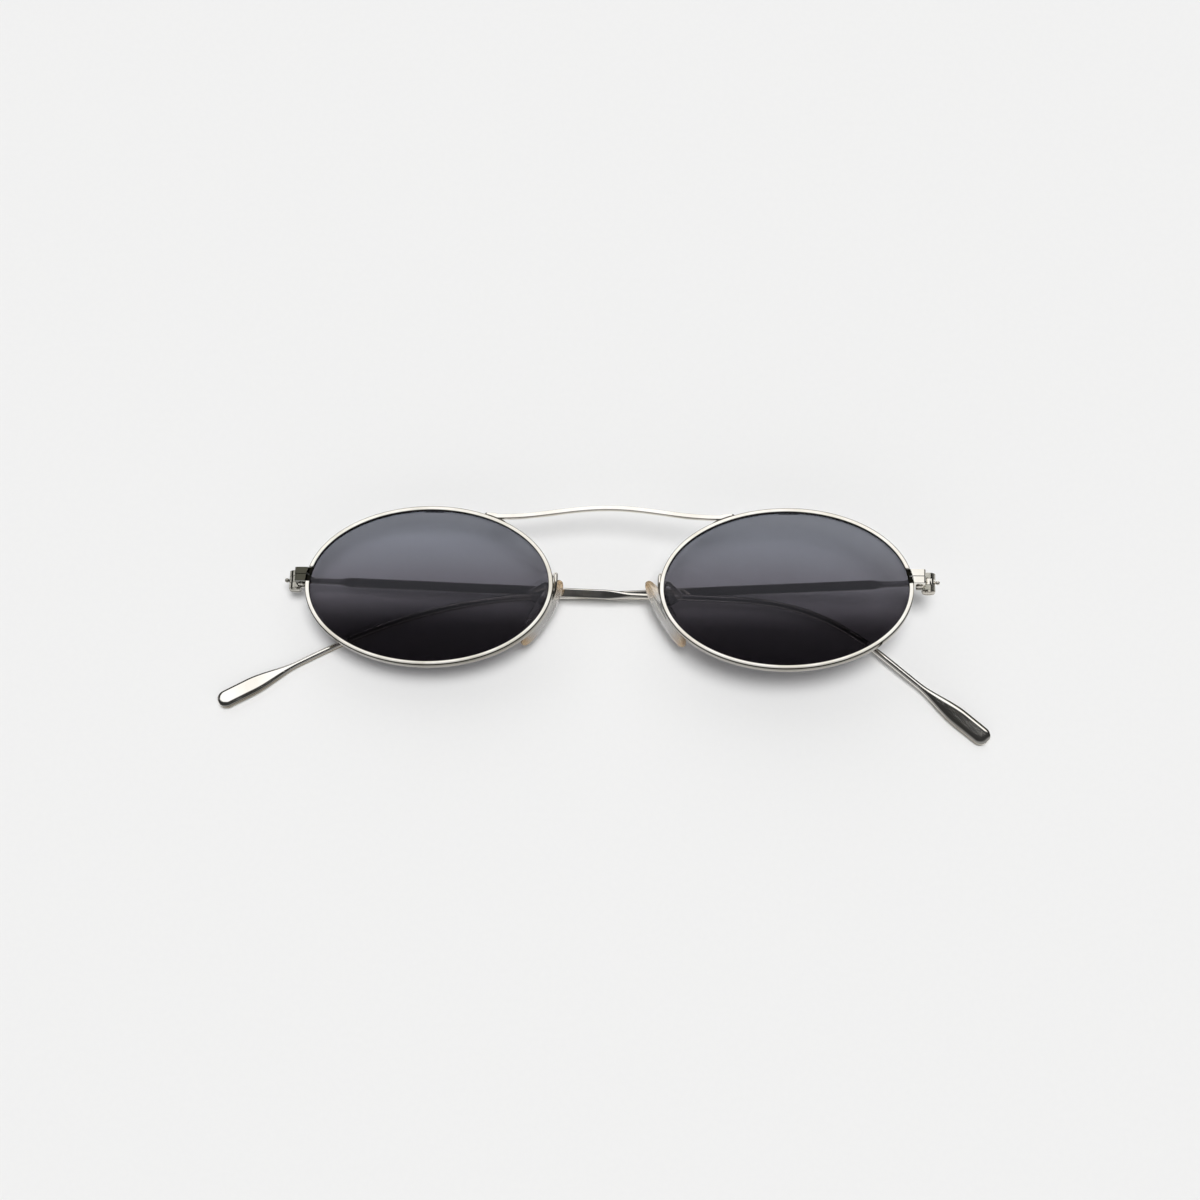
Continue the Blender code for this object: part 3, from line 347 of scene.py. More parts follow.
def lens_finish():
    """Tinted glass that darkens down the lens, a little clouded, with wipe marks in its roughness.

    The smoke tint is the lens's own; its darkening downward is partly painted shade, the glasses' shadow on the
    table seen through the lens. Light on its way to the table passes its clear upper half and is held back by the
    dark lower half.
    """
    material = bpy.data.materials.new("smoke_grey_lens")
    material.use_nodes = True
    tree = material.node_tree
    shader = tree.nodes["Principled BSDF"]
    shader.inputs["Transmission Weight"].default_value = 1.0
    shader.inputs["IOR"].default_value = LENS_INDEX
    shader.inputs["Specular Tint"].default_value = LENS_MIRROR
    place = tree.nodes.new("ShaderNodeTexCoord").outputs["Object"]
    wipe = new_node(tree, "ShaderNodeMapping", Scale=WIPE_STRETCH, Rotation=WIPE_TURN)
    tree.links.new(place, wipe.inputs["Vector"])
    haze = noise(tree, wipe.outputs["Vector"], Scale=WIPE_SCALE, Detail=5.0, Roughness=0.6)
    tree.links.new(spread(tree, haze, *WIPE_RANGE, *LENS_ROUGHNESS), shader.inputs["Roughness"])
    split = tree.nodes.new("ShaderNodeSeparateXYZ")
    tree.links.new(place, split.inputs["Vector"])
    bottom = middle[1] - LENS_OPENING_HEIGHT / 2
    height = spread(tree, split.outputs["Y"], bottom, bottom + LENS_OPENING_HEIGHT)
    uneven = tree.nodes.new("ShaderNodeMath")
    uneven.operation = "MULTIPLY_ADD"
    uneven.inputs[1].default_value = CLOUDINESS
    tree.links.new(noise(tree, place, Scale=CLOUD_SCALE, Detail=2.0), uneven.inputs[0])
    tree.links.new(height, uneven.inputs[2])
    height = uneven.outputs["Value"]
    tree.links.new(shades(tree, height, *LENS_TINT_AND_SHADE, curve="B_SPLINE"), shader.inputs["Base Color"])
    clear = tree.nodes.new("ShaderNodeBsdfTransparent")
    tree.links.new(shades(tree, height, *LIGHT_LET_THROUGH), clear.inputs["Color"])
    choose = tree.nodes.new("ShaderNodeMixShader")
    tree.links.new(tree.nodes.new("ShaderNodeLightPath").outputs["Is Shadow Ray"], choose.inputs["Fac"])
    tree.links.new(shader.outputs["BSDF"], choose.inputs[1])
    tree.links.new(clear.outputs["BSDF"], choose.inputs[2])
    tree.links.new(choose.outputs["Shader"], tree.nodes["Material Output"].inputs["Surface"])
    return material


smoke_lens = lens_finish()


def make_lens(side, label):
    """A domed disc: height falls with the square of the share of the radius, squashed to the oval."""
    face_width = LENS_OPENING_WIDTH / 2 - LENS_PLAY
    face_height = LENS_OPENING_HEIGHT / 2 - LENS_PLAY
    half_edge = LENS_EDGE / 2
    bevel_share = 1.0 - LENS_BEVEL / face_height
    shares = np.linspace(0.0, 1.0, LENS_RINGS) * bevel_share
    dome = LENS_CROWN * (1.0 - shares ** 2)
    shoulder = GROOVE_HALF - 2 * LENS_PLAY
    reach = 1.0 + (GROOVE_DEPTH - LENS_PLAY) / face_height
    share = np.concatenate([shares, [1.0, 1.0, reach, 1.0], shares[::-1]])
    height = np.concatenate([
        half_edge + dome,
        [half_edge - LENS_BEVEL / 2, shoulder, 0.0, -shoulder],
        (-half_edge + dome)[::-1],
    ])
    angle = np.linspace(0.0, 2 * math.pi, LENS_STEPS, endpoint=False)
    x = side * LENS_SPACING / 2 + face_width * share[:, None] * np.cos(angle)[None, :]
    y = face_height * share[:, None] * np.sin(angle)[None, :]
    z = np.broadcast_to((height - GROOVE_CENTRE)[:, None], x.shape)
    rings = np.stack([x, y, z], axis=-1)
    skin(f"{label}_smoke_lens", from_front(rings), "front", smoke_lens, "smoke_lens", f"{label}_lens")


make_lens(-1, "left")
make_lens(1, "right")

# The bridge: one flat silver bar, arched over the nose. Its tapered ends lie on the eyewires and are soldered
# on, with a small run of solder in the corner under each end.
BRIDGE_RISE = 0.0019
BRIDGE_SHOULDER_DROP = 0.0020
BRIDGE_LANDING = 0.0105
BRIDGE_FLAT_END = 0.0035
BRIDGE_HEIGHT = 0.00092
BRIDGE_DEPTH = 0.0013
BRIDGE_TAPER = 0.0026
BRIDGE_TIP_SHARE = 0.35
BRIDGE_HALF_SPAN = LENS_SPACING / 2 - BRIDGE_LANDING
BRIDGE_STEPS = 260
BRIDGE_SIDES = 56
BRIDGE_POWER = 13.0
WIRE_POWER = 2.0
SEAT = 0.00005
SHADE_START = 0.84
SHADE_RISE = 0.10
SHADE_FADE = 0.3
# Painted shade of the upper and the lower edge, dark lines where the bar's edges mirror dark, where the lower one
# sets in, and how deep it goes
BRIDGE_PAINTED_SHADE = (0.82, 0.95, 0.93, 0.35)
SOLDER_SIZE = 0.00024
SOLDER_PLACE = 0.0137
SOLDER_HALF_LENGTH = 0.0011
SOLDER_LIFT = 0.8
SOLDER_DEPTH = 0.46
SOLDER_FULLER = 0.25
SOLDER_GRAIN = 0.000004
SOLDER_STEPS = 40
SOLDER_SIDES = 24


def rounded_ring(centres, tall, thick, half_tall, half_thick, sides, power):
    """Superellipse sections: the cosine and sine of an angle, each raised to 2 / power with its sign kept."""
    angle = np.linspace(0.0, 2 * math.pi, sides, endpoint=False) + math.pi / sides
    exponent = 2.0 / power[:, None]
    cosine = np.cos(angle)[None, :]
    sine = np.sin(angle)[None, :]
    a = np.sign(cosine) * np.abs(cosine) ** exponent * half_tall[:, None]
    b = np.sign(sine) * np.abs(sine) ** exponent * half_thick[:, None]
    return centres[:, None, :] + a[:, :, None] * tall[:, None, :] + b[:, :, None] * thick[:, None, :]


def painted_edge_shade(sides, power, upper, lower, lower_start=SHADE_START, depth_kept=-2.0):
    """Painted shade on a superellipse section, dark lines where its edges mirror dark: a smooth step of the share
    of the way to its upper or lower edge.

    It sets in at SHADE_START on the upper side and at lower_start on the lower one. On the lower side's wall it
    ends at depth_kept, a share of the half thickness (1 at the front face).
    """
    angle = np.linspace(0.0, 2 * math.pi, sides, endpoint=False) + math.pi / sides
    reach = np.sign(np.cos(angle)) * np.abs(np.cos(angle)) ** (2.0 / power)
    depth = np.sign(np.sin(angle)) * np.abs(np.sin(angle)) ** (2.0 / power)
    rise = smooth_step((np.abs(reach) - np.where(reach > 0, SHADE_START, lower_start)) / SHADE_RISE)
    kept = smooth_step((depth - depth_kept) / SHADE_FADE)
    return np.where(reach > 0, upper * rise, lower * rise * kept)


def make_bridge():
    """A rounded bar along a cosine arch, held up to the eyewires' outer sides, rounded off at its tips."""
    x = BRIDGE_HALF_SPAN * np.sin(np.linspace(-math.pi / 2, math.pi / 2, BRIDGE_STEPS))
    taper = smooth_step((BRIDGE_HALF_SPAN - np.abs(x)) / BRIDGE_TAPER)
    half_height = BRIDGE_HEIGHT / 2 * (BRIDGE_TIP_SHARE + (1.0 - BRIDGE_TIP_SHARE) * taper)
    arch_half = BRIDGE_HALF_SPAN - BRIDGE_FLAT_END
    arch = 0.5 + 0.5 * np.cos(np.pi * np.minimum(np.abs(x), arch_half) / arch_half)
    free = LENS_OPENING_HEIGHT / 2 + RIM_FACE - BRIDGE_SHOULDER_DROP + BRIDGE_RISE * arch
    share = np.clip((np.abs(x) - LENS_SPACING / 2) / (LENS_OPENING_WIDTH / 2 + RIM_FACE + SEAT), -1.0, 1.0)
    on_rim = (LENS_OPENING_HEIGHT / 2 + RIM_FACE + SEAT) * np.sqrt(1.0 - share ** 2) + half_height
    y = np.maximum(free, on_rim)
    slope = np.gradient(y, x)
    tall = np.stack([-slope, np.ones_like(x), np.zeros_like(x)], axis=-1)
    tall /= np.linalg.norm(tall, axis=1, keepdims=True)
    thick = np.tile([0.0, 0.0, 1.0], (len(x), 1))
    tip = np.sqrt(np.clip(1.0 - (1.0 - (BRIDGE_HALF_SPAN - np.abs(x)) / BRIDGE_HEIGHT).clip(0) ** 2, 0.0, 1.0))
    centres = np.stack([x, y, np.full_like(x, -BRIDGE_DEPTH / 2)], axis=-1)
    rings = rounded_ring(
        centres, tall, thick, half_height * tip, np.full_like(x, BRIDGE_DEPTH / 2) * tip, BRIDGE_SIDES,
        np.full_like(x, BRIDGE_POWER),
    )
    skin(
        "arched_bridge", from_front(rings), "front", polished_silver, "polished_silver", "bridge_bar",
        painted_shade=painted_edge_shade(BRIDGE_SIDES, BRIDGE_POWER, *BRIDGE_PAINTED_SHADE),
    )


make_bridge()
solder = silver_finish("dull_solder", (0.30, 0.29, 0.26), (0.14, 0.135, 0.11), 0.25, 0.45, SOLDER_GRAIN)


def make_solder(side, label):
    """A short run in the corner between bar and eyewire: thin at both ends, fuller towards the bar's tip."""
    share = np.linspace(-1.0, 1.0, SOLDER_STEPS)
    x = LENS_SPACING / 2 - SOLDER_PLACE + SOLDER_HALF_LENGTH * share
    ratio = (LENS_SPACING / 2 - x) / (LENS_OPENING_WIDTH / 2 + RIM_FACE)
    y = (LENS_OPENING_HEIGHT / 2 + RIM_FACE) * np.sqrt(1.0 - ratio ** 2) + SOLDER_SIZE * SOLDER_LIFT
    full = np.sqrt(1.0 - share ** 2) * (1.0 - SOLDER_FULLER + SOLDER_FULLER * share)
    centres = np.stack([side * x, y, np.full_like(x, -BRIDGE_DEPTH / 2)], axis=-1)
    tall = np.tile([0.0, 1.0, 0.0], (len(x), 1))
    thick = np.tile([0.0, 0.0, 1.0], (len(x), 1))
    rings = rounded_ring(
        centres, tall, thick, SOLDER_SIZE * full, BRIDGE_DEPTH * SOLDER_DEPTH * full, SOLDER_SIDES,
        np.full_like(x, WIRE_POWER),
    )
    skin(f"{label}_bridge_solder", from_front(rings), "front", solder, "polished_silver")


make_solder(-1, "left")
make_solder(1, "right")

# The end pieces: each eyewire is closed by two silver blocks that a small screw draws together from below. A
# leaf with two knuckles stands behind them, and the hinge screw with its broad domed head runs up the barrel.
BLOCK_EASE = 0.00009
HINGE_EASE = 0.00007
HINGE_SCREW_EASE = 0.00005
LOCK_SCREW_EASE = 0.00004
EASE_ANGLE = math.radians(40.0)
EASE_SEGMENTS = 3
JOINED_FACES = 0.000002

steel = silver_finish(
    "screw_head_steel", (0.80, 0.78, 0.74), (0.66, 0.62, 0.55), 0.16, 0.30, SATIN_SCRATCH
)
# A dark olive copy of the silver for the left blocks' faces: a painted reflection of dark surroundings, which
# those faces mirror where the right ones mirror light.
olive_reflection_silver = silver_finish(
    "silver_painted_olive_reflection", (0.080, 0.078, 0.060), (0.045, 0.044, 0.034), 0.14, 0.30, SATIN_SCRATCH
)
# A darker copy of the silver, a painted reflection of dark surroundings: on the left leaf, knuckle and screws, the
# left bead and the right leaf.
dark_reflection_silver = silver_finish(
    "dark_reflection_silver", (0.58, 0.56, 0.51), (0.30, 0.29, 0.25), 0.12, 0.28, SATIN_SCRATCH
)


def soften(node, width, finish):
    """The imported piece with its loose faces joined, its edges eased by width, and its finish put on."""
    piece = frame["nodes"][node]
    weld = piece.modifiers.new("Joined faces", "WELD")
    weld.merge_threshold = JOINED_FACES
    ease = piece.modifiers.new("Eased edges", "BEVEL")
    ease.width = width
    ease.segments = EASE_SEGMENTS
    ease.limit_method = "ANGLE"
    ease.angle_limit = EASE_ANGLE
    ease.harden_normals = False
    piece.data.materials.clear()
    piece.data.materials.append(finish)


# The left blocks, leaf, knuckle and screws, and the right leaf, take the darker copies: painted reflection, where
# they mirror dark.
for label, face, leaf, knuckle, head in (
    ("left", olive_reflection_silver, dark_reflection_silver, dark_reflection_silver, dark_reflection_silver),
    ("right", warm_silver, dark_reflection_silver, warm_silver, steel),
):
    soften(f"{label}_lower_block", BLOCK_EASE, face)
    soften(f"{label}_upper_block", BLOCK_EASE, face)
    soften(f"{label}_front_hinge", HINGE_EASE, leaf)
    soften(f"{label}_temple_hinge", HINGE_EASE, knuckle)
    soften(f"{label}_lock_screw", LOCK_SCREW_EASE, head)
    soften(f"{label}_hinge_screw", HINGE_SCREW_EASE, head)

# The temples: each is one silver wire, pressed to a flat bar near the hinge and to a paddle at its far end,
# and bent by hand round the ear. Its neck is soldered to the middle knuckle of the hinge.
NECK_START = 0.00305
NECK_END = 0.0085
BAR_START = 0.0115
BAR_END = 0.0620
WIRE_START = 0.0680
PADDLE_START = 0.1295
PADDLE_FULL = 0.1405
TEMPLE_LENGTH = 0.1475
NECK_HALF_HEIGHT = 0.00055
NECK_HALF_THICKNESS = 0.00045
BAR_HALF_HEIGHT = 0.00095
BAR_HALF_THICKNESS = 0.00045
WIRE_RADIUS = 0.00065
PADDLE_HALF_WIDTH = 0.0019
PADDLE_HALF_THICKNESS = 0.00080
PADDLE_POWER = 3.0
BAR_POWER = 5.0
BOW_HALF_LENGTH = 0.0040
FALL = {"left": math.radians(0.37), "right": math.radians(10.54)}
TEMPLE_SIDES = 56
TEMPLE_STEPS = 620
TIP_STEPS = 24
PATH_POINTS = 4801
# Painted shade of the upper and the lower edge, dark lines where the wire mirrors dark, and where the lower one
# sets in
TEMPLE_PAINTED_SHADE = (0.70, 0.95, 0.64)


def blend(distance, stops):
    """Value along the temple: a smooth step from each (distance, value) stop to the next."""
    result = np.full_like(distance, stops[0][1])
    for (start, before), (end, after) in zip(stops[:-1], stops[1:]):
        result += (after - before) * smooth_step((distance - start) / (end - start))
    return result


def swing_down(points, side, label):
    """Points about a hinge axis, swung about the way up by the fall of that side's folded temple."""
    swing = -side * FALL[label]
    x = points[..., 0] * math.cos(swing) + points[..., 2] * math.sin(swing)
    z = points[..., 2] * math.cos(swing) - points[..., 0] * math.sin(swing)
    return np.stack([x, points[..., 1], z], axis=-1) + pins[f"{label}_temple_fold"]


def make_temple(side, label, slope, bow_place, bow_angle, bend_start, bend_length, bend_angle, rolls):
    """Sections carried along a path that is summed from its heading (the run and the ear bend) and its bow.

    rolls turns the sections about the path, so that the flat faces catch the light as the real ones do.
    """
    fine = np.linspace(0.0, TEMPLE_LENGTH, PATH_POINTS)
    heading = slope + bend_angle * smooth_step((fine - bend_start) / bend_length)
    bow = bow_angle * smooth_step((fine - bow_place + BOW_HALF_LENGTH) / (2 * BOW_HALF_LENGTH))
    ahead = np.stack([-np.cos(heading) * np.cos(bow), np.sin(heading), np.cos(heading) * np.sin(bow)], axis=-1)
    steps = (ahead[1:] + ahead[:-1]) / 2 * (fine[1] - fine[0])
    route = np.concatenate([np.zeros((1, 3)), np.cumsum(steps, axis=0)])
    body = np.linspace(NECK_START, TEMPLE_LENGTH - PADDLE_HALF_WIDTH, TEMPLE_STEPS)
    tip_turn = np.linspace(0.0, math.pi / 2, TIP_STEPS)[1:]
    distance = np.concatenate([body, TEMPLE_LENGTH - PADDLE_HALF_WIDTH * (1.0 - np.sin(tip_turn))])
    nearest = np.searchsorted(fine, distance).clip(0, len(fine) - 1)
    centre, forward, turn = route[nearest], ahead[nearest], bow[nearest]
    inside = np.stack([np.sin(turn), np.zeros_like(turn), np.cos(turn)], axis=-1)
    broad = np.cross(inside, forward)
    half_height = blend(distance, [
        (0.0, NECK_HALF_HEIGHT), (NECK_END, NECK_HALF_HEIGHT), (BAR_START, BAR_HALF_HEIGHT),
        (BAR_END, BAR_HALF_HEIGHT), (WIRE_START, WIRE_RADIUS), (PADDLE_START, WIRE_RADIUS),
        (PADDLE_FULL, PADDLE_HALF_WIDTH),
    ])
    half_thickness = blend(distance, [
        (0.0, NECK_HALF_THICKNESS), (BAR_END, BAR_HALF_THICKNESS), (WIRE_START, WIRE_RADIUS),
        (PADDLE_START, WIRE_RADIUS), (PADDLE_FULL, PADDLE_HALF_THICKNESS),
    ])
    power = blend(distance, [
        (0.0, BAR_POWER), (BAR_END, BAR_POWER), (WIRE_START, WIRE_POWER),
        (PADDLE_START, WIRE_POWER), (PADDLE_FULL, PADDLE_POWER),
    ])
    past = np.clip((distance - TEMPLE_LENGTH + PADDLE_HALF_WIDTH) / PADDLE_HALF_WIDTH, 0.0, 1.0)
    tip = np.sqrt(1.0 - past ** 2)
    lift = np.maximum(half_thickness - WIRE_RADIUS, 0.0)
    centre = centre + lift[:, None] * inside
    roll = blend(distance, rolls)[:, None]
    tall = broad * np.cos(roll) + inside * np.sin(roll)
    thick = inside * np.cos(roll) - broad * np.sin(roll)
    rings = rounded_ring(centre, tall, thick, half_height * tip, half_thickness * tip, TEMPLE_SIDES, power)
    rings[..., 0] *= side
    placed = swing_down(rings, side, label)
    skin(
        f"{label}_temple_wire", placed, f"temple_{label}", polished_silver, "polished_silver",
        f"{label}_temple", painted_shade=painted_edge_shade(TEMPLE_SIDES, WIRE_POWER, *TEMPLE_PAINTED_SHADE),
    )


make_temple(
    -1, "left", slope=math.radians(-1.18), bow_place=0.0900, bow_angle=math.radians(-4.6),
    bend_start=0.0865, bend_length=0.0373, bend_angle=math.radians(-36.8),
    rolls=[(0.0, 0.0), (NECK_END, 0.0), (BAR_START, -0.17), (BAR_END, -0.17), (PADDLE_START, -0.20)],
)
make_temple(
    1, "right", slope=math.radians(-0.72), bow_place=0.0632, bow_angle=FALL["right"],
    bend_start=0.0626, bend_length=0.0719, bend_angle=math.radians(-28.3),
    rolls=[(0.0, 0.0), (NECK_END, 0.0), (BAR_START, -0.26), (BAR_END, -0.26), (PADDLE_START, 0.13)],
)

# The beads: a small silver ball is soldered to the outer side of each temple's knuckle. The solder leaves a
# short stub between them, hollow at its waist.
BARREL_RADIUS = 0.00138
BEAD_RADIUS = 0.00045
BALL_TURN = math.radians(152.0)
STUB_FLARE = 0.7
BALL_RINGS = 26
STUB_RINGS = 8
BEAD_SIDES = 32


def make_bead(side, label, finish):
    """A ball swept from its outer pole to a narrow neck that meets the barrel in a hollow curve."""
    turn = np.linspace(0.0, BALL_TURN, BALL_RINGS)
    ball_out = BARREL_RADIUS + SEAT + BEAD_RADIUS + BEAD_RADIUS * np.cos(turn)
    ball_radius = BEAD_RADIUS * np.sin(turn)
    stub = np.linspace(0.0, 1.0, STUB_RINGS)[1:]
    stub_out = ball_out[-1] + (BARREL_RADIUS + SEAT / 2 - ball_out[-1]) * stub
    stub_radius = ball_radius[-1] * (1.0 + STUB_FLARE * stub ** 2)
    reach = np.concatenate([ball_out, stub_out])
    radius = np.concatenate([ball_radius, stub_radius])
    angle = np.linspace(0.0, 2 * math.pi, BEAD_SIDES, endpoint=False)
    y = radius[:, None] * np.cos(angle)[None, :]
    z = radius[:, None] * np.sin(angle)[None, :]
    x = np.broadcast_to(side * reach[:, None], y.shape)
    placed = swing_down(np.stack([x, y, z], axis=-1), side, label)
    skin(
        f"{label}_solder_bead", placed, f"temple_{label}", finish, "polished_silver", f"{label}_temple_bead",
    )


# The left bead takes the darker copy of the silver: painted reflection.
make_bead(-1, "left", dark_reflection_silver)
make_bead(1, "right", polished_silver)

# The nose pads: clear soft plastic, moulded round a thin metal insert. The insert's lug is held in a small box
# by a screw, on which the pad rocks. The plastic has yellowed a little towards its tips.
PAD_LENGTH = 0.0150
PAD_WIDTH = 0.0050
PAD_THICKNESS = 0.0021
PAD_FLATNESS = 0.6
PAD_TILT = math.radians(31.0)
PAD_SPLAY = math.radians(27.0)
PAD_RAKE = math.radians(12.0)
PAD_LUG_RISE = 0.0018
LUG_AXIS = 0.0011
LUG_REACH = 0.0019
LUG_WIDTH = 0.0015
LUG_THICKNESS = 0.0008
PAD_RINGS = 72
PAD_STEPS = 96
YELLOWING_POWER = 2.5
INSERT_SINK = 0.75
INSERT_ROOT = 0.35
INSERT_EXTRA_HALF_LENGTH = 0.0022
INSERT_TAPER = 0.0004
INSERT_ROUNDING = 0.0002
INSERT_STEPS = 60
INSERT_SIDES = 40
INSERT_POWER = 3.0
PAD_BOX_EASE = 0.00006
PAD_SCREW_EASE = 0.00003
PAD_CLEARNESS = 0.76
PAD_INDEX = 1.43
PAD_ROUGHNESS = (0.05, 0.20)
PAD_TINT = ((0.30, (0.93, 0.92, 0.90)), (0.92, (0.92, 0.70, 0.45)))
MOTTLE_SCALE = 700.0
MOTTLE_SHARE = 0.35
PEEL_STRENGTH = 0.25
PEEL_DEPTH = 0.00004


def pad_turn():
    """Tilt about the way out, then rake about the way across, then splay about the way up, as one matrix."""
    c, s = math.cos(PAD_TILT), math.sin(PAD_TILT)
    tilt = np.array([[c, -s, 0], [s, c, 0], [0, 0, 1]])
    c, s = math.cos(PAD_RAKE), math.sin(PAD_RAKE)
    rake = np.array([[1, 0, 0], [0, c, -s], [0, s, c]])
    c, s = math.cos(PAD_SPLAY), math.sin(PAD_SPLAY)
    splay = np.array([[c, 0, s], [0, 1, 0], [-s, 0, c]])
    return tilt @ rake @ splay


def from_pad(points, side, label):
    """Points in a right-hand pad's own frame about its screw, turned, mirrored for the left, and placed."""
    turned = points @ pad_turn().T
    turned[..., 0] *= side
    offset = turned[..., :1] * across + turned[..., 1:2] * up + turned[..., 2:] * out
    return pins[f"{label}_pad_rock"] + offset


def pad_finish():
    """Clear plastic with amber that deepens towards both tips, and a faintly orange-peeled surface."""
    material = bpy.data.materials.new("clear_pad_plastic")
    material.use_nodes = True
    tree = material.node_tree
    shader = tree.nodes["Principled BSDF"]
    shader.inputs["Transmission Weight"].default_value = PAD_CLEARNESS
    shader.inputs["IOR"].default_value = PAD_INDEX
    place = tree.nodes.new("ShaderNodeTexCoord").outputs["Object"]
    mottle = noise(tree, place, Scale=MOTTLE_SCALE, Detail=3.0)
    yellowing = tree.nodes.new("ShaderNodeAttribute")
    yellowing.attribute_name = "towards_tip"
    amber = tree.nodes.new("ShaderNodeMath")
    amber.operation = "MULTIPLY_ADD"
    amber.inputs[1].default_value = MOTTLE_SHARE
    tree.links.new(mottle, amber.inputs[0])
    tree.links.new(yellowing.outputs["Fac"], amber.inputs[2])
    tree.links.new(shades(tree, amber.outputs["Value"], *PAD_TINT), shader.inputs["Base Color"])
    tree.links.new(spread(tree, mottle, 0.0, 1.0, *PAD_ROUGHNESS), shader.inputs["Roughness"])
    peel = bumps(tree, mottle, PEEL_STRENGTH, PEEL_DEPTH)
    tree.links.new(peel.outputs["Normal"], shader.inputs["Normal"])
    return material


clear_pad = pad_finish()


def make_pad(side, label):
    """An ellipsoid whose thickness is flattened by a power of its own unit coordinate."""
    latitude = np.linspace(0.0, math.pi, PAD_RINGS)[:, None]
    longitude = np.linspace(0.0, 2 * math.pi, PAD_STEPS, endpoint=False)[None, :]
    unit_x = np.sin(latitude) * np.cos(longitude)
    unit_z = np.sin(latitude) * np.sin(longitude)
    unit_y = np.broadcast_to(np.cos(latitude), unit_x.shape)
    flat = np.sign(unit_x) * np.abs(unit_x) ** PAD_FLATNESS
    shape = np.stack([flat * PAD_THICKNESS / 2, unit_y * PAD_LENGTH / 2, unit_z * PAD_WIDTH / 2], axis=-1)
    shape = shape + np.array([-PAD_THICKNESS / 2 - LUG_AXIS, -PAD_LUG_RISE, 0.0])
    piece = skin(
        f"{label}_clear_pad", from_pad(shape, side, label), f"pad_{label}", clear_pad, "clear_pad",
        f"{label}_nose_pad",
    )
    place = np.empty(len(piece.data.vertices) * 3)
    piece.data.vertices.foreach_get("co", place)
    place = place.reshape(-1, 3)
    along = (pad_turn() @ np.array([0.0, 1.0, 0.0])) * np.array([side, 1.0, 1.0])
    along = along[0] * across + along[1] * up + along[2] * out
    share = (place - place.mean(axis=0)) @ along / (PAD_LENGTH / 2)
    attribute = piece.data.attributes.new("towards_tip", "FLOAT", "POINT")
    attribute.data.foreach_set("value", (np.abs(share) ** YELLOWING_POWER).astype(np.float32))


def make_insert(side, label):
    """The metal insert: a thin rounded plate inside the pad that narrows by a smooth step into the lug."""
    reach = np.linspace(-LUG_AXIS - PAD_THICKNESS * INSERT_SINK, LUG_REACH - LUG_AXIS, INSERT_STEPS)
    root = smooth_step((-LUG_AXIS - PAD_THICKNESS * INSERT_ROOT - reach) / INSERT_TAPER)
    half_long = LUG_WIDTH / 2 + INSERT_EXTRA_HALF_LENGTH * root
    half_thin = LUG_THICKNESS / 2 * (1.0 - 0.1 * root)
    ends = np.minimum(reach - reach[0], reach[-1] - reach) / INSERT_ROUNDING
    close = np.sqrt(1.0 - (1.0 - np.clip(ends, 0.0, 1.0)) ** 2)
    centres = np.stack([reach, np.zeros_like(reach), np.zeros_like(reach)], axis=-1)
    tall = np.tile([0.0, 1.0, 0.0], (len(reach), 1))
    thick = np.tile([0.0, 0.0, 1.0], (len(reach), 1))
    rings = rounded_ring(
        centres, tall, thick, half_long * close, half_thin * close, INSERT_SIDES,
        np.full_like(reach, INSERT_POWER),
    )
    skin(
        f"{label}_pad_insert", from_pad(rings, side, label), f"pad_{label}", polished_silver,
        "polished_silver",
    )


for side, label in ((-1, "left"), (1, "right")):
    make_pad(side, label)
    make_insert(side, label)
    soften(f"{label}_pad_box", PAD_BOX_EASE, polished_silver)
    soften(f"{label}_pad_screw", PAD_SCREW_EASE, steel)

# The pad arms: a thin silver wire runs from the back of each eyewire over a tight turn and out to the pad box.
# Both of its ends are soldered.
ARM_RADIUS = 0.00040
ARM_FOOT_Y = -0.0022
ARM_TOP_Y = 0.0034
ARM_TURN = 0.0011
ARM_STEPS = 24
ARM_SIDES = 28
# Painted shade on both edges of the arm wire: dark outlines where it mirrors dark.
ARM_PAINTED_SHADE = 0.90
ARM_DOME = 0.6
ARM_TIP = 0.02
LUG_END_PLAY = 0.00010
BOX_WALL = 0.0004
BOX_BACK = LUG_REACH - LUG_AXIS + LUG_END_PLAY + BOX_WALL


def rim_nose_x(y):
    """Distance from the middle of the front to the eyewire's outer side at height y, towards the nose."""
    half_width = LENS_OPENING_WIDTH / 2 + RIM_FACE
    half_height = LENS_OPENING_HEIGHT / 2 + RIM_FACE
    return LENS_SPACING / 2 - half_width * math.sqrt(1.0 - (y / half_height) ** 2)


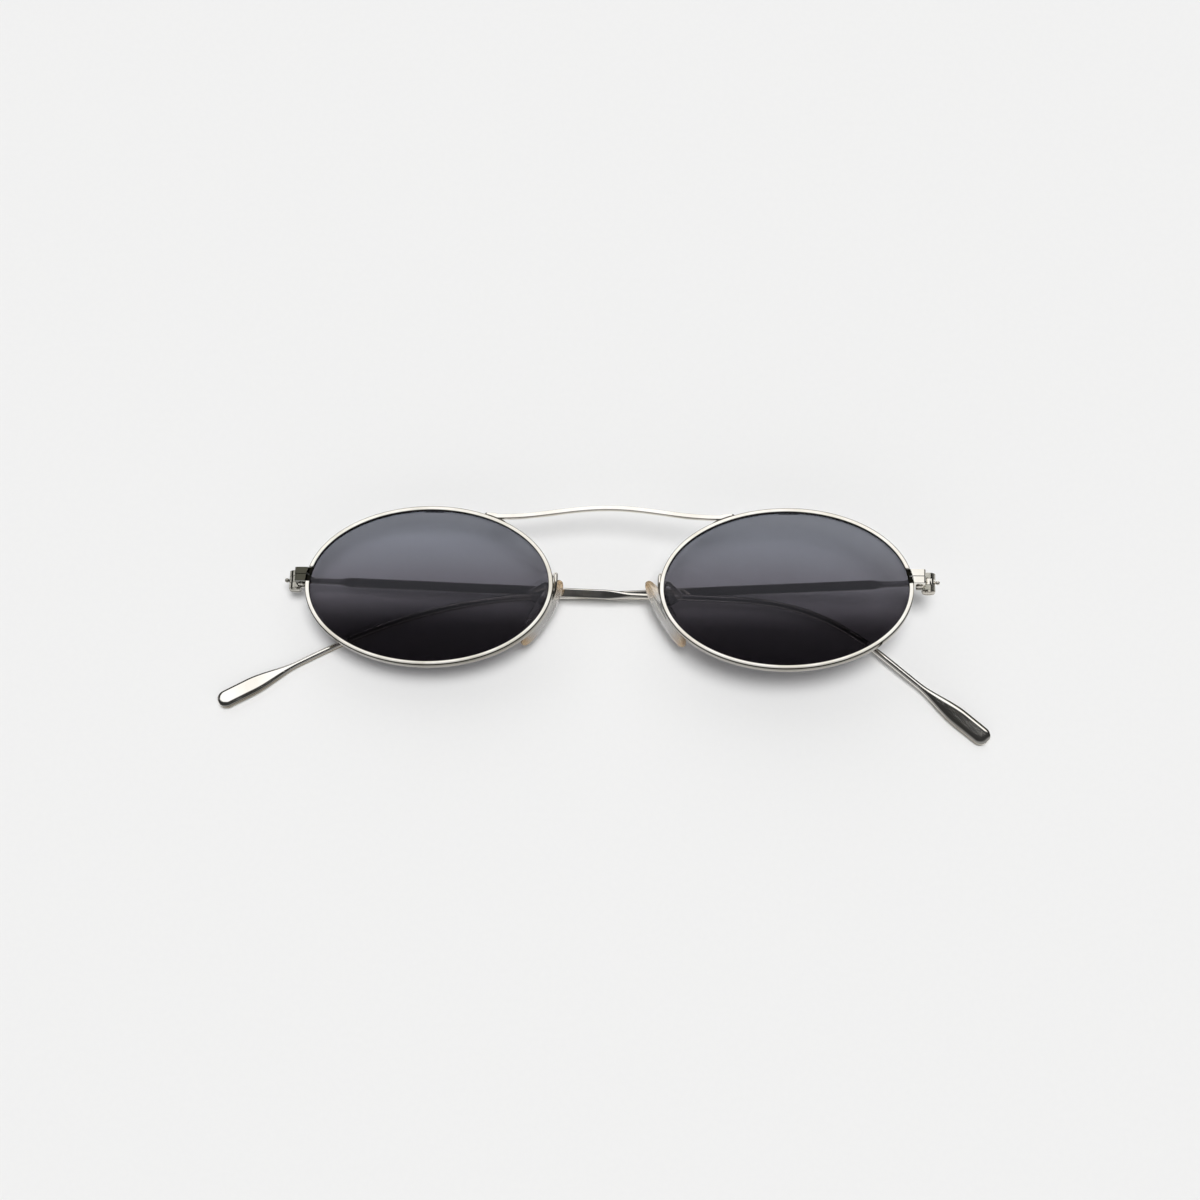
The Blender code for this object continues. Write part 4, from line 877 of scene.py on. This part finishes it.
def make_arm(side, label):
    """A round wire along a smooth curve through its guide points, with domed ends.

    Between two points the curve is a cubic, whose slope at each is half the way between that point's neighbours.
    """
    pivot = pins[f"{label}_pad_rock"] - middle
    pivot = np.array([side * pivot @ across, pivot @ up, pivot @ out])
    turn = pad_turn()
    foot_x = rim_nose_x(ARM_FOOT_Y)
    rise_x = rim_nose_x(0.0)
    guides = np.array([
        (foot_x + RIM_FACE / 2, ARM_FOOT_Y, -RIM_DEPTH - ARM_RADIUS - SEAT),
        (rise_x - SEAT, 0.0, -RIM_DEPTH - ARM_RADIUS - SEAT),
        (rise_x - ARM_RADIUS / 2, ARM_TOP_Y - ARM_TURN, -RIM_DEPTH - ARM_RADIUS),
        (rise_x, ARM_TOP_Y, -RIM_DEPTH - ARM_TURN),
        (rise_x + ARM_TURN, ARM_TOP_Y - ARM_TURN, -RIM_DEPTH - 2 * ARM_TURN),
        pivot + turn @ np.array([BOX_BACK + ARM_TURN, 0.0, ARM_TURN]),
        pivot + turn @ np.array([BOX_BACK + 2 * SEAT + ARM_RADIUS, 0.0, 0.0]),
        pivot + turn @ np.array([BOX_BACK + 2 * SEAT, 0.0, 0.0]),
    ])
    padded = np.vstack([2 * guides[0] - guides[1], guides, 2 * guides[-1] - guides[-2]])
    before, start, end, after = (padded[i:len(padded) - 3 + i, None, :] for i in range(4))
    t = np.linspace(0.0, 1.0, ARM_STEPS, endpoint=False)[None, :, None]
    route = 0.5 * (
        2 * start + (end - before) * t + (2 * before - 5 * start + 4 * end - after) * t ** 2
        + (3 * start - before - 3 * end + after) * t ** 3
    )
    route = np.vstack([route.reshape(-1, 3), guides[-1:]])
    ahead = np.gradient(route, axis=0)
    ahead /= np.linalg.norm(ahead, axis=1, keepdims=True)
    first = np.cross(ahead, np.array([0.3, 0.1, 1.0]))
    first /= np.linalg.norm(first, axis=1, keepdims=True)
    second = np.cross(ahead, first)
    travelled = np.concatenate([[0.0], np.cumsum(np.linalg.norm(np.diff(route, axis=0), axis=1))])
    ends = np.minimum(travelled, travelled[-1] - travelled) / (ARM_RADIUS * ARM_DOME)
    dome = np.sqrt(1.0 - (1.0 - np.clip(ends, 0.0, 1.0)) ** 2)
    radius = ARM_RADIUS * np.maximum(dome, ARM_TIP)
    power = np.full(len(route), WIRE_POWER)
    rings = rounded_ring(route, first, second, radius, radius, ARM_SIDES, power)
    rings[..., 0] *= side
    skin(
        f"{label}_arm_wire", from_front(rings), "front", polished_silver, "polished_silver",
        f"{label}_pad_arm", painted_shade=painted_edge_shade(ARM_SIDES, WIRE_POWER, ARM_PAINTED_SHADE, ARM_PAINTED_SHADE),
    )


make_arm(-1, "left")
make_arm(1, "right")

# The table: a wide matt white top, with a trace of paper tooth, that goes pale grey under the glasses' shadow.
# It lies a hair below the glasses, so that the two never share a surface.
TABLE_RADIUS = 4.0
TABLE_DROP = 0.00002
TABLE_RINGS = 12
TABLE_STEPS = 96
TABLE_ROUGHNESS = 0.9
TABLE_TINT = ((0.0, (0.845, 0.845, 0.842)), (1.0, (0.865, 0.865, 0.862)))
TOOTH_SCALE = 900.0


def make_table():
    """A flat disc of rings, fine near the middle, with a few faces only."""
    radius = TABLE_RADIUS * np.linspace(0.0, 1.0, TABLE_RINGS)[1:] ** 2
    angle = np.linspace(0.0, 2 * math.pi, TABLE_STEPS, endpoint=False)
    x = radius[:, None] * np.cos(angle)[None, :]
    y = radius[:, None] * np.sin(angle)[None, :]
    points = np.concatenate([np.zeros((1, 3)), np.stack([x, y, np.zeros_like(x)], axis=-1).reshape(-1, 3)])
    here = np.arange(TABLE_STEPS)
    there = (here + 1) % TABLE_STEPS
    fans = np.stack([np.zeros_like(here), here + 1, there + 1], axis=-1)
    row = np.arange(TABLE_RINGS - 2)[:, None] * TABLE_STEPS + 1
    quads = np.stack([row + here, row + TABLE_STEPS + here, row + TABLE_STEPS + there, row + there], axis=-1)
    mesh = bpy.data.meshes.new("tabletop")
    mesh.from_pydata(points.tolist(), [], fans.tolist() + quads.reshape(-1, 4).tolist())
    table = bpy.data.objects.new("tabletop", mesh)
    table.location.z = -TABLE_DROP
    bpy.context.scene.collection.objects.link(table)
    material = bpy.data.materials.new("matt_white_table")
    material.use_nodes = True
    tree = material.node_tree
    shader = tree.nodes["Principled BSDF"]
    shader.inputs["Roughness"].default_value = TABLE_ROUGHNESS
    shader.inputs["Specular IOR Level"].default_value = 0.0
    place = tree.nodes.new("ShaderNodeTexCoord").outputs["Object"]
    tooth = noise(tree, place, Scale=TOOTH_SCALE, Detail=3.0)
    tree.links.new(shades(tree, tooth, *TABLE_TINT), shader.inputs["Base Color"])
    mesh.materials.append(material)


make_table()

# The light: a soft lamp hangs overhead, a little to the right, a white sheet stands behind the glasses, and
# the camera's side is dim. All are painted on the sky by direction, as tangents in the front's frame. Metal
# and glass mirror the sky without the lamp, and the camera sees a pale backdrop in its place.
LAMP_GLOW = 27.0
LAMP_SIDEWAYS = 0.16
LAMP_BACK = -0.04
LAMP_EDGE = (0.27, 0.06)
SHEET_GLOW = 1.15
SHEET_NEAR_EDGE = (0.19, 0.30)
SHEET_FAR_EDGE = (9.0, 5.0)
SHEET_SIDE_EDGE = (1.30, 0.80)
SHEET_SHARE = 0.5
FRONT_GLOW = 0.40
FRONT_EDGE = (-0.4, -0.9)
ROOM_GLOW = 0.06
DIM_SHARE = 0.6
BACKDROP = 0.88
MIRRORED_CAMERA = 0.09
HORIZON = (0.0, 0.03)
LOWEST_SLOPE = 0.02
WHITE = (1.0, 1.0, 1.0, 1.0)


def ramp(tree, value, start, end):
    """A smooth step of a socket between two of its values."""
    node = tree.nodes.new("ShaderNodeMapRange")
    node.interpolation_type = "SMOOTHSTEP"
    node.inputs["From Min"].default_value = start
    node.inputs["From Max"].default_value = end
    tree.links.new(value, node.inputs["Value"])
    return node.outputs["Result"]


def combine(tree, operation, first, second):
    """One Math node: second is a socket or a number."""
    node = tree.nodes.new("ShaderNodeMath")
    node.operation = operation
    tree.links.new(first, node.inputs[0])
    if isinstance(second, (int, float)):
        node.inputs[1].default_value = second
    else:
        tree.links.new(second, node.inputs[1])
    return node.outputs["Value"]


def dot_with(tree, vector, direction):
    """The length of a vector socket along a fixed direction."""
    node = tree.nodes.new("ShaderNodeVectorMath")
    node.operation = "DOT_PRODUCT"
    tree.links.new(vector, node.inputs[0])
    node.inputs[1].default_value = tuple(direction)
    return node.outputs["Value"]


def make_sky():
    """The glow of each direction: lamp, sheet and room for falling light, sheet and dim room for what mirrors.

    back and sideways are the tangents of a direction, measured from straight out of the front.
    """
    world = bpy.data.worlds.new("studio")
    bpy.context.scene.world = world
    world.use_nodes = True
    tree = world.node_tree
    tree.nodes.clear()
    way = tree.nodes.new("ShaderNodeTexCoord").outputs["Generated"]
    high = dot_with(tree, way, out)
    above = ramp(tree, high, *HORIZON)
    safe = combine(tree, "MAXIMUM", high, LOWEST_SLOPE)
    back = combine(tree, "DIVIDE", dot_with(tree, way, up), safe)
    sideways = combine(tree, "DIVIDE", dot_with(tree, way, across), safe)
    aside = combine(tree, "ABSOLUTE", combine(tree, "ADD", sideways, MIRRORED_CAMERA), 0.0)
    sheet = ramp(tree, back, *SHEET_NEAR_EDGE)
    sheet = combine(tree, "MULTIPLY", sheet, ramp(tree, back, *SHEET_FAR_EDGE))
    sheet = combine(tree, "MULTIPLY", sheet, ramp(tree, aside, *SHEET_SIDE_EDGE))
    sheet = combine(tree, "MULTIPLY", sheet, SHEET_GLOW)
    room = combine(tree, "MULTIPLY", ramp(tree, back, *FRONT_EDGE), FRONT_GLOW)
    room = combine(tree, "ADD", room, ROOM_GLOW)
    mirrored = combine(tree, "ADD", combine(tree, "MULTIPLY", room, DIM_SHARE), sheet)
    along = combine(tree, "POWER", combine(tree, "ADD", back, -LAMP_BACK), 2.0)
    beside = combine(tree, "POWER", combine(tree, "ADD", sideways, -LAMP_SIDEWAYS), 2.0)
    away = combine(tree, "SQRT", combine(tree, "ADD", along, beside), 0.0)
    lamp = combine(tree, "MULTIPLY", ramp(tree, away, *LAMP_EDGE), LAMP_GLOW)
    falling = combine(tree, "ADD", room, combine(tree, "MULTIPLY", sheet, SHEET_SHARE))
    falling = combine(tree, "ADD", falling, lamp)
    paths = tree.nodes.new("ShaderNodeLightPath")
    seen_in = combine(tree, "MAXIMUM", paths.outputs["Is Glossy Ray"], paths.outputs["Is Transmission Ray"])
    glow = tree.nodes.new("ShaderNodeMix")
    tree.links.new(seen_in, glow.inputs[0])
    tree.links.new(falling, glow.inputs[2])
    tree.links.new(mirrored, glow.inputs[3])
    studio = new_node(tree, "ShaderNodeBackground", Color=WHITE)
    tree.links.new(combine(tree, "MULTIPLY", glow.outputs[0], above), studio.inputs["Strength"])
    backdrop = new_node(tree, "ShaderNodeBackground", Color=WHITE, Strength=BACKDROP)
    choose = tree.nodes.new("ShaderNodeMixShader")
    tree.links.new(paths.outputs["Is Camera Ray"], choose.inputs["Fac"])
    tree.links.new(studio.outputs["Background"], choose.inputs[1])
    tree.links.new(backdrop.outputs["Background"], choose.inputs[2])
    surface = tree.nodes.new("ShaderNodeOutputWorld")
    tree.links.new(choose.outputs["Shader"], surface.inputs["Surface"])


make_sky()

# The camera: it stands before the glasses and well above them, a little to the right, at the photograph's
# angle. Its place and its aim are in the front's frame.
CAMERA_PLACE = np.array((0.05410, -0.15364, 0.52603))
CAMERA_AIM = np.array((-0.00110, -0.00280, 0.0))
CAMERA_TURN = math.radians(2.17)
CAMERA_LENS = 83.59
CAMERA_FILM = 36.0
CAMERA_NEAR = 0.01


def make_camera():
    """A camera at its place in the front's frame, looking at its aim, turned a little about its view."""
    view = CAMERA_AIM - CAMERA_PLACE
    view /= np.linalg.norm(view)
    level = np.cross(view, (0.0, 1.0, 0.0))
    level /= np.linalg.norm(level)
    upright = np.cross(level, view)
    right = level * math.cos(CAMERA_TURN) + upright * math.sin(CAMERA_TURN)
    top = np.cross(right, view)
    columns = np.stack([across, up, out], axis=1) @ np.stack([right, top, -view], axis=1)
    matrix = np.eye(4)
    matrix[:3, :3] = columns
    matrix[:3, 3] = from_front(CAMERA_PLACE)
    data = bpy.data.cameras.new("camera")
    data.lens = CAMERA_LENS
    data.sensor_width = CAMERA_FILM
    data.clip_start = CAMERA_NEAR
    camera = bpy.data.objects.new("camera", data)
    camera.matrix_world = Matrix(matrix.tolist())
    bpy.context.scene.collection.objects.link(camera)
    bpy.context.scene.camera = camera


make_camera()
bpy.context.scene.view_settings.view_transform = "Standard"
